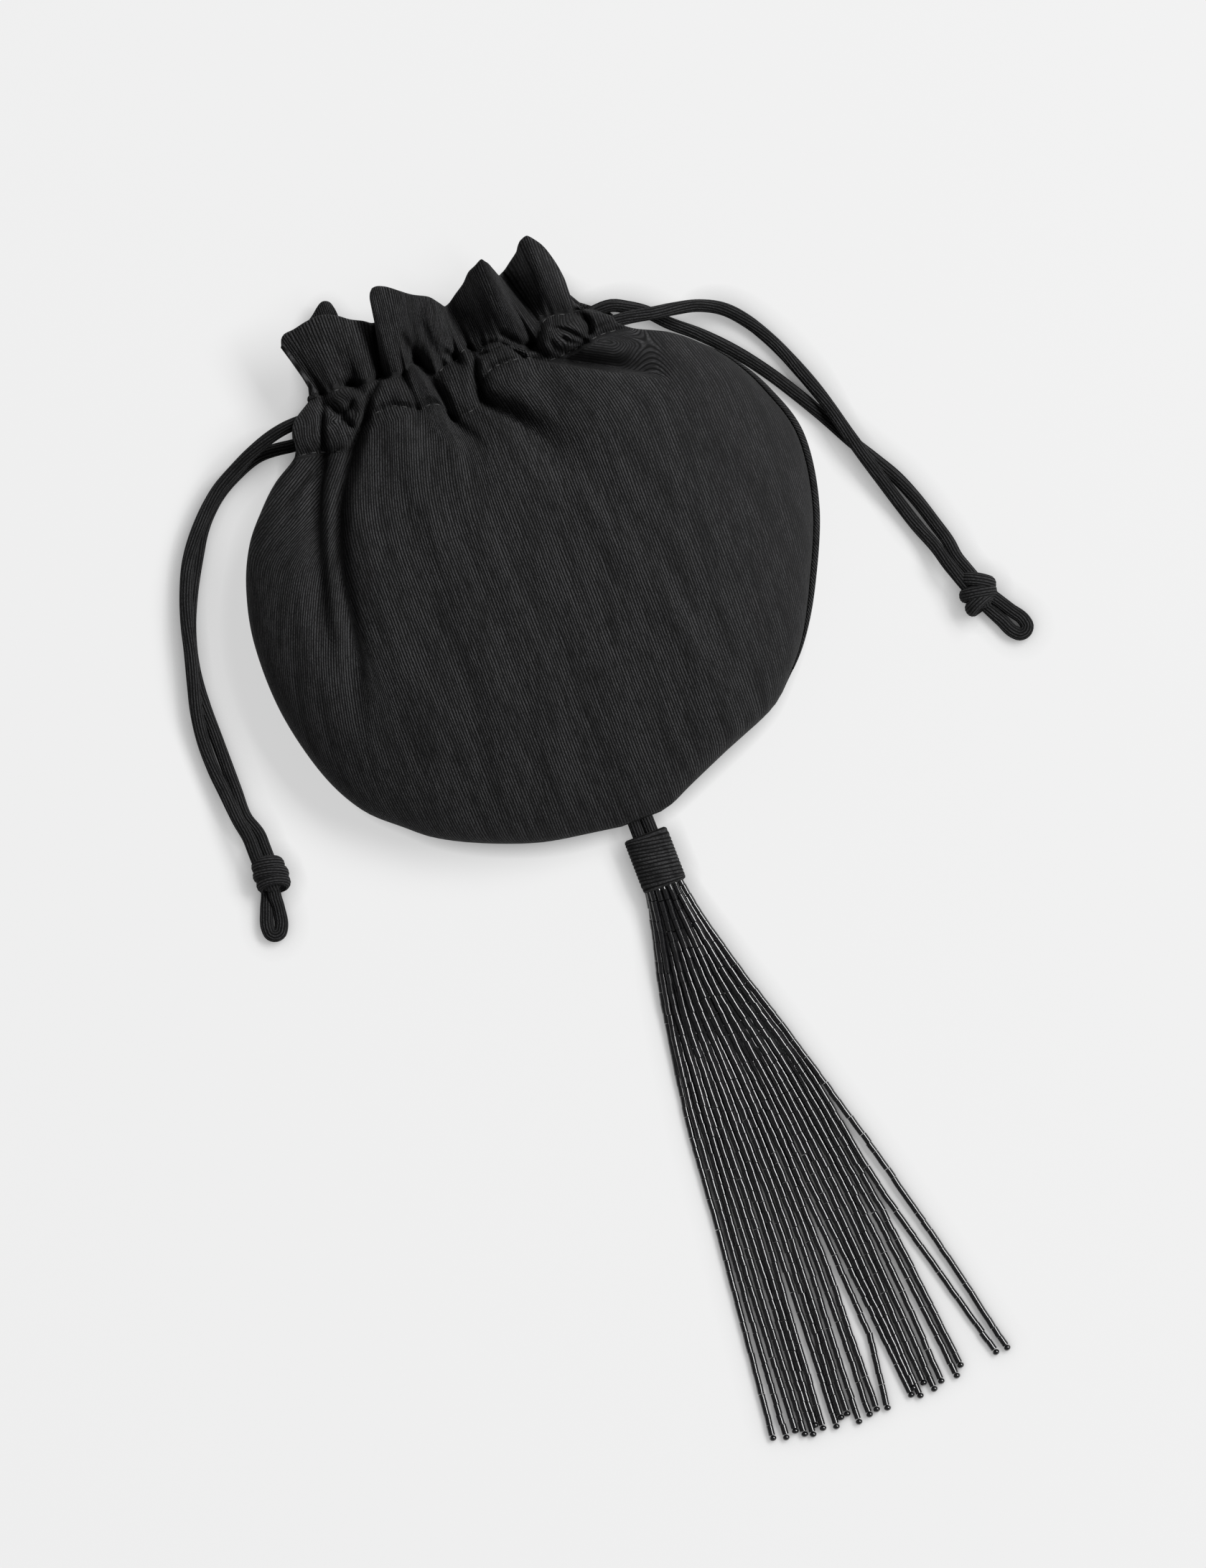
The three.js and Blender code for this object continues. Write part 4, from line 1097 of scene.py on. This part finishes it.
# %% [markdown]
# ## Stitches of the channel
# Two rows of stitches close the channel. The twisted sewing thread is a little lighter and
# smoother than the cloth. A dashed line in the material would lie flat, so each stitch is a
# short bar whose ends sink in. Stitches inside a steep fold can't be seen and aren't made.

# %% Sewing thread
STITCH, STITCH_PITCH = 2.1, 3.6
THREAD_HALF = 0.24
SINK = np.array([-0.2, 0.14, 0.2, 0.14, -0.2])
STEEP = 0.9
THREAD_SIDES = 6
# a turn of the twist, and the length of one wave of the Wave Texture at scale 1
TWIST = 2.0 * MM
WAVE_IN_UNIT = 0.32

thread, tree, shader = new_material("grey_sewing_thread")
flat = add_node(tree, "ShaderNodeUVMap", uv_map=CLOTH_MAP).outputs["UV"]
inputs = {"Vector": flat, "Scale": WAVE_IN_UNIT / TWIST, "Distortion": 1.0}
twist = add_node(tree, "ShaderNodeTexWave", inputs).outputs["Fac"]
inputs = {0: twist, 6: linear("#1e1e1e"), 7: linear("#404040")}
grey = add_node(tree, "ShaderNodeMix", inputs, data_type="RGBA")
tree.links.new(grey.outputs[2], shader.inputs["Base Color"])
shader.inputs["Roughness"].default_value = 0.7

# %% Stitches
low_row = int(np.abs(FRONT_ROWS - LOW_Y).argmin())
parts = []
for on_cloth in (front_pouch[low_row], front_pouch[-1]):
    far = lengths(on_cloth)
    for start in np.arange(3, far[-1] - 6, STITCH_PITCH):
        at = np.linspace(start, start + STITCH, len(SINK))
        line = np.stack([np.interp(at, far, on_cloth[:, k]) for k in range(3)], axis=1)
        if np.ptp(line[:, 2]) > STEEP:
            continue
        line[:, 2] += SINK
        first, second = ring_directions(line)
        angle = np.linspace(0, 2 * math.pi, THREAD_SIDES + 1)[:, None]
        ring = first[:, None] * np.cos(angle) + second[:, None] * np.sin(angle)
        rings = line[:, None] + THREAD_HALF * ring
        uv = np.stack(np.broadcast_arrays(angle[:, 0] * THREAD_HALF, at[:, None]), axis=-1) * MM
        parts.append(capped(rings, uv, line))
sewn("channel_stitches", parts, "front_panel", thread)
print("stitches:", len(parts))

# %% [markdown]

# %% [markdown]
# ## Tassel: tab and head
# A tab of doubled cord is sewn into the bottom of the rim. The head below it is a strip of
# the same cloth wound round the ends of the bead strands, so its ribs run round it. A
# cylinder with a bump pattern would keep a straight outline. The ribs show in the outline, so
# the head is drawn out ring by ring, five rings to a rib.

# %% Tab
TAB_TOP, TAB_BOTTOM = (0.8, -96.5, 9.4), (0.9, -110.0, 6.5)
TAB_HALF, TAB_RADIUS = 2.2, 2.45

runs = []
for way in (-1, 1):
    ends = [np.array(end) + (way * TAB_HALF, 0, 0) for end in (TAB_TOP, TAB_BOTTOM)]
    middle = (ends[0] + ends[1]) / 2
    runs.append(ribbed_tube([ends[0], middle, ends[1]], TAB_RADIUS, 0.8, seed=40 + way))
sewn("tassel_tab", runs, "tassel_loop", turned_ottoman)

# %% Wound head: a ring of points drawn out rib by rib
HEAD_X, HEAD_Z = 0.55, 6.4
HEAD_TOP, HEAD_BOTTOM = -105.1, -124.7
HEAD_HALF = (8.1, 6.3)
HEAD_RIBS = 15
HEAD_SLANT = 0.16
HEAD_SIDES = 96
STEPS_PER_RIB = 5
HEAD_INSIDE = -1.6
RIB_SWELL, END_ROUND, HEAD_TRIM = 0.22, 0.9, 0.35
LAP_AT, LAP_STEP = 0.9, 0.8
HEAD_ROUND = 44


def head_ring(y, size, slant=0.0):
    """A ring of the head. The strip is wound at a slant, and its end laps over its start."""
    angle = np.linspace(0, 2 * math.pi, HEAD_SIDES, endpoint=False)
    lap = (angle - LAP_AT) % (2 * math.pi) / (2 * math.pi)
    swell = size + LAP_STEP * (lap - 0.6)
    aside = (HEAD_HALF[0] + swell) * np.cos(angle)
    up = np.maximum(0.05, HEAD_Z + (HEAD_HALF[1] + swell) * np.sin(angle))
    return np.stack([HEAD_X + aside, y - slant * aside, up], axis=1)


rings = []
places = np.linspace(0, HEAD_RIBS, HEAD_RIBS * STEPS_PER_RIB + 1)
for place in places:
    end = min(place, HEAD_RIBS - place)
    size = RIB_SWELL * abs(math.sin(math.pi * place)) - END_ROUND * math.exp(-3 * end) - HEAD_TRIM
    slant = HEAD_SLANT * float(smoothstep(end, 0, 2.5))
    rings.append(head_ring(lerp(HEAD_TOP, HEAD_BOTTOM, place / HEAD_RIBS), size, slant))
rings += [head_ring(HEAD_BOTTOM + 0.4, HEAD_INSIDE), head_ring(HEAD_TOP - 0.4, HEAD_INSIDE)]
rings = np.array(rings)
index = np.arange(rings.shape[0] * HEAD_SIDES).reshape(-1, HEAD_SIDES)
around, below = np.roll(index, -1, axis=1), np.roll(index, -1, axis=0)
below_around = np.roll(around, -1, axis=0)
faces = np.stack([index, around, below_around, below], axis=-1).reshape(-1, 4).tolist()
rib_uv = np.append(places, [HEAD_RIBS, 0])[:, None] * RIB / MM
angle_uv = np.linspace(0, HEAD_ROUND, HEAD_SIDES)
uv = np.stack(np.broadcast_arrays(rib_uv, angle_uv), axis=-1).reshape(-1, 2) * MM
sewn("tassel_head", [(rings.reshape(-1, 3), faces, uv)], "tassel_wrap", ottoman)

# %% [markdown]
# ## Black glass beads
# Bugle beads are cut from drawn glass tube: opaque black, very smooth, with sharp
# highlights along them. A faint roughness keeps the highlights from being mirror sharp.

# %% Black glass
glass, tree, shader = new_material("black_drawn_glass")
place = add_node(tree, "ShaderNodeTexCoord").outputs["Object"]
inputs = {"Vector": place, "Scale": 1 / (2.5 * MM), "Detail": 2.0}
haze = add_node(tree, "ShaderNodeTexNoise", inputs).outputs["Fac"]
rough = add_node(tree, "ShaderNodeMapRange", {"Value": haze, "To Min": 0.14, "To Max": 0.2})
inputs = {0: haze, 6: linear("#050506"), 7: linear("#101013")}
tint = add_node(tree, "ShaderNodeMix", inputs, data_type="RGBA")
tree.links.new(tint.outputs[2], shader.inputs["Base Color"])
tree.links.new(rough.outputs[0], shader.inputs["Roughness"])
shader.inputs["IOR"].default_value = 1.65
shader.inputs["Specular IOR Level"].default_value = 0.7

# %% [markdown]
# ## Bead strands
# About fifty bugle beads and one round seed bead are strung on each strand. One bead of
# each kind is modelled from a primitive, and copies of it are laid along the strands, all
# in one mesh. The strands leave the head in four layers and come down to the table.

# %% One bugle bead and one seed bead
BEAD = 2.3
SEED = 2.5
BEAD_PITCH = 3.7
BEAD_LENGTH = 3.68
BEAD_BEVEL = 0.1


def bead_shape():
    """A bugle bead along Z at the origin: a cut rod whose ends are a little ground off."""
    bpy.ops.object.select_all(action="DESELECT")
    bpy.ops.mesh.primitive_cylinder_add(vertices=12, radius=BEAD / 2, depth=BEAD_LENGTH)
    bead = bpy.context.object
    bpy.context.tool_settings.mesh_select_mode = (False, False, True)
    bpy.ops.object.mode_set(mode="EDIT")
    bpy.ops.mesh.select_all(action="DESELECT")
    bpy.ops.object.mode_set(mode="OBJECT")
    for face in bead.data.polygons:
        face.select = abs(face.normal.z) > 0.9
    bpy.ops.object.mode_set(mode="EDIT")
    bpy.ops.mesh.bevel(offset=BEAD_BEVEL, segments=1)
    bpy.ops.object.mode_set(mode="OBJECT")
    return taken(bead)


def seed_shape():
    """A round seed bead along Z at the origin."""
    bpy.ops.object.select_all(action="DESELECT")
    bpy.ops.mesh.primitive_uv_sphere_add(segments=12, ring_count=8, radius=SEED / 2)
    seed = bpy.context.object
    bpy.ops.object.mode_set(mode="EDIT")
    bpy.ops.mesh.select_all(action="SELECT")
    bpy.ops.transform.resize(value=(1, 1, 0.8))
    bpy.ops.object.mode_set(mode="OBJECT")
    return taken(seed)


bugle, seed_bead = bead_shape(), seed_shape()
print("bugle bead faces:", len(bugle[1]), "seed bead faces:", len(seed_bead[1]))

# %% Strands, in the bag's millimetres: x and y of the tip
STRANDS = [
    (-33.2, -318.5), (-28.7, -320), (-25, -319.1), (-22.4, -321.1), (-19.6, -322.4),
    (-17.8, -319.6), (-15.6, -321.5), (-11, -322.6), (-8.4, -320.4), (-6, -319.8), (-3.1, -323.9),
    (1.3, -323), (4.2, -322.1), (7.8, -323), (17.3, -321.8), (18.9, -319.8), (20.2, -323.2),
    (22.8, -319.4), (25.6, -322.7), (28.9, -321.1), (34.6, -321.2), (37.2, -318.2),
    (50.5, -318.3), (54.7, -318.3),
]
# how wide the fan is on its way: y, and x of its first and its last strand
FAN = [
    (-122.4, -5.5, 6.1), (-126, -5.9, 6.5), (-130, -6.6, 7.1), (-160, -13.9, 14.2),
    (-200, -20.3, 25.8), (-240, -24.6, 33.6),
]
# one strand is caught on its neighbour near its tip, and the last one stays apart
CAUGHT, CAUGHT_AT, CAUGHT_BY = 13, -296.0, 3.2
LAST_AT_240 = 36.6
STRAND_LAYERS = (0, 2, 1, 3)
LAYER_STEP = 2.1
FALL = (-124.0, -200.0)
FLOOR = BEAD / 2 + 0.05
# every second strand lies a little higher, down to these distances
RAISED, RAISED_TO = 0.9, (225, 300)
WANDER, WANDER_FROM, WANDER_TO = 0.2, (126, 170), (300, 323)

# %% The way of a strand


def strand_line(number):
    """The middle line of a strand, from inside the head to its tip."""
    tip_x, tip_y = STRANDS[number]
    share = number / (len(STRANDS) - 1)
    rng = np.random.default_rng(100 + number)
    places = [(lerp(first, last, share), y) for y, first, last in FAN]
    if number == len(STRANDS) - 1:
        places[-1] = (LAST_AT_240, FAN[-1][0])
    if number == CAUGHT:
        places.append((lerp(places[-1][0], tip_x, 0.68) + CAUGHT_BY, CAUGHT_AT))
    places.append((tip_x, tip_y))
    x, y = np.array(places).T
    fine_y = np.linspace(y[0], y[-1], 90)
    fine_x = curve(-fine_y, -y, x) if number != CAUGHT else np.interp(-fine_y, -y, x)
    loose = smoothstep(-fine_y, *WANDER_FROM) * (1 - smoothstep(-fine_y, *WANDER_TO))
    waves = sum(np.sin(fine_y / rng.uniform(6, 20) + rng.uniform(0, 6)) for _ in range(3))
    layer = (STRAND_LAYERS[number % 4] - 1.5) * LAYER_STEP
    top = HEAD_Z + layer * math.sqrt(1 - 0.9 * (2 * share - 1) ** 2)
    low = FLOOR + RAISED * (number % 2) * (1 - smoothstep(-fine_y, *RAISED_TO))
    fall = np.clip((fine_y - FALL[0]) / (FALL[1] - FALL[0]), 0, 1)
    z = lerp(low, top, (1 - fall) ** 2)
    return np.stack([fine_x + WANDER * loose * waves / 2, fine_y, z], axis=1)


# %% Beads along the strands
TILT, ASIDE, ROLL = 0.05, 0.06, 0.5
LOWEST = 0.02


def laid(shape, place, heading, roll):
    """A bead turned so that its hole points along the strand."""
    ahead = heading / np.linalg.norm(heading)
    side = np.cross(ahead, (0, 0, 1.0))
    side /= np.linalg.norm(side)
    up = np.cross(side, ahead)
    c, s = math.cos(roll), math.sin(roll)
    points = shape[0] @ np.stack([c * side + s * up, c * up - s * side, ahead]) + place
    return points, shape[1], points[:, :2] * MM


rng = np.random.default_rng(7)
beads = []
for number in range(len(STRANDS)):
    line = strand_line(number)
    far = lengths(line)
    tip = far[-1] - 0.4 * SEED
    at = np.arange(tip - 0.4 * SEED - BEAD_PITCH / 2, 0, -BEAD_PITCH)
    for bead, shape in [(a, bugle) for a in at] + [(tip, seed_bead)]:
        steps = bead + np.array([-1, 0, 1])
        places = [np.interp(steps, far, line[:, k]) for k in range(3)]
        before, place, after = np.stack(places, axis=1)
        swing = np.array([*rng.normal(0, TILT, 2), 0])
        shift = np.array([*rng.normal(0, ASIDE, 2), 0])
        beads.append(laid(shape, place + shift, after - before + swing, rng.uniform(0, ROLL)))
points, faces, uv = joined(beads)
points[:, 2] = np.maximum(points[:, 2], LOWEST)
strands = made_mesh("bead_strands", in_row(points), faces, uv)
bpy.ops.object.select_all(action="DESELECT")
strands.select_set(True)
bpy.context.view_layer.objects.active = strands
bpy.ops.object.shade_smooth_by_angle(angle=math.radians(40))
dress(strands, "tassel_strands", glass)
print("beads:", len(beads))

# %% [markdown]
# ## Table and light
# The table is plain and pale. One large soft lamp stands to the right of the picture, low
# enough to model the ribs, and an even room fills the shadows. The table is given a painted
# glow, though it is no lamp, which keeps cast shadows weak, and painted shade takes the glow
# away in narrow gaps. Past the table's edge the camera sees a pale room.

# %% Table
GAP_REACH = 8 * MM
TABLE_SIZE, TABLE_TOP = 8, -0.0002
TABLE_PAINTED_GLOW = 1.94

bpy.ops.object.select_all(action="DESELECT")
bpy.ops.mesh.primitive_plane_add(size=TABLE_SIZE, location=(0, 0, TABLE_TOP))
table = bpy.context.object
table.name = "table"
paper, tree, shader = new_material("pale_paper_painted_glow")
grain = add_node(tree, "ShaderNodeTexNoise", {"Scale": 3.0, "Detail": 2.0}).outputs["Fac"]
inputs = {0: grain, 6: linear("#969696"), 7: linear("#989898")}
pale = add_node(tree, "ShaderNodeMix", inputs, data_type="RGBA").outputs[2]
# painted light: the table glows with its own pale colour though it is no lamp, and ambient
# occlusion fades the glow as painted shade in narrow gaps
inputs = {"Color": pale, "Distance": GAP_REACH}
glow_with_painted_gap_shade = add_node(tree, "ShaderNodeAmbientOcclusion", inputs, samples=8)
tree.links.new(pale, shader.inputs["Base Color"])
tree.links.new(glow_with_painted_gap_shade.outputs["Color"], shader.inputs["Emission Color"])
shader.inputs["Emission Strength"].default_value = TABLE_PAINTED_GLOW
shader.inputs["Roughness"].default_value = 0.9
shader.inputs["Specular IOR Level"].default_value = 0.0
table.data.materials.append(paper)
print("table, metres across:", TABLE_SIZE)

# %% Lamp and room
LAMP_TURN, LAMP_RISE, LAMP_AWAY = math.radians(14), math.radians(50), 8.0
LAMP_SIZE, LAMP_POWER = (2.6, 6.5), 710
ROOM_LIGHT, ROOM_SEEN = 0.13, 0.86

level = math.cos(LAMP_RISE)
away = [math.cos(LAMP_TURN) * level, math.sin(LAMP_TURN) * level, math.sin(LAMP_RISE)]
place = LAMP_AWAY * np.array(away)
turn = (0, math.pi / 2 - LAMP_RISE, LAMP_TURN)
bpy.ops.object.light_add(type="AREA", location=place, rotation=turn)
lamp = bpy.context.object
lamp.data.shape = "RECTANGLE"
lamp.data.size, lamp.data.size_y = LAMP_SIZE
lamp.data.energy = LAMP_POWER

world = bpy.data.worlds.new("soft_room")
bpy.context.scene.world = world
world.use_nodes = True
tree = world.node_tree
room = tree.nodes["Background"]
room.inputs["Color"].default_value = linear("#fdfdff")
looked_at = add_node(tree, "ShaderNodeLightPath").outputs["Is Camera Ray"]
inputs = {"Value": looked_at, "To Min": ROOM_LIGHT, "To Max": ROOM_SEEN}
glow = add_node(tree, "ShaderNodeMapRange", inputs)
tree.links.new(glow.outputs[0], room.inputs["Strength"])
bpy.context.scene.view_settings.view_transform = "Standard"
print("lamp at", place.round(2), "m")
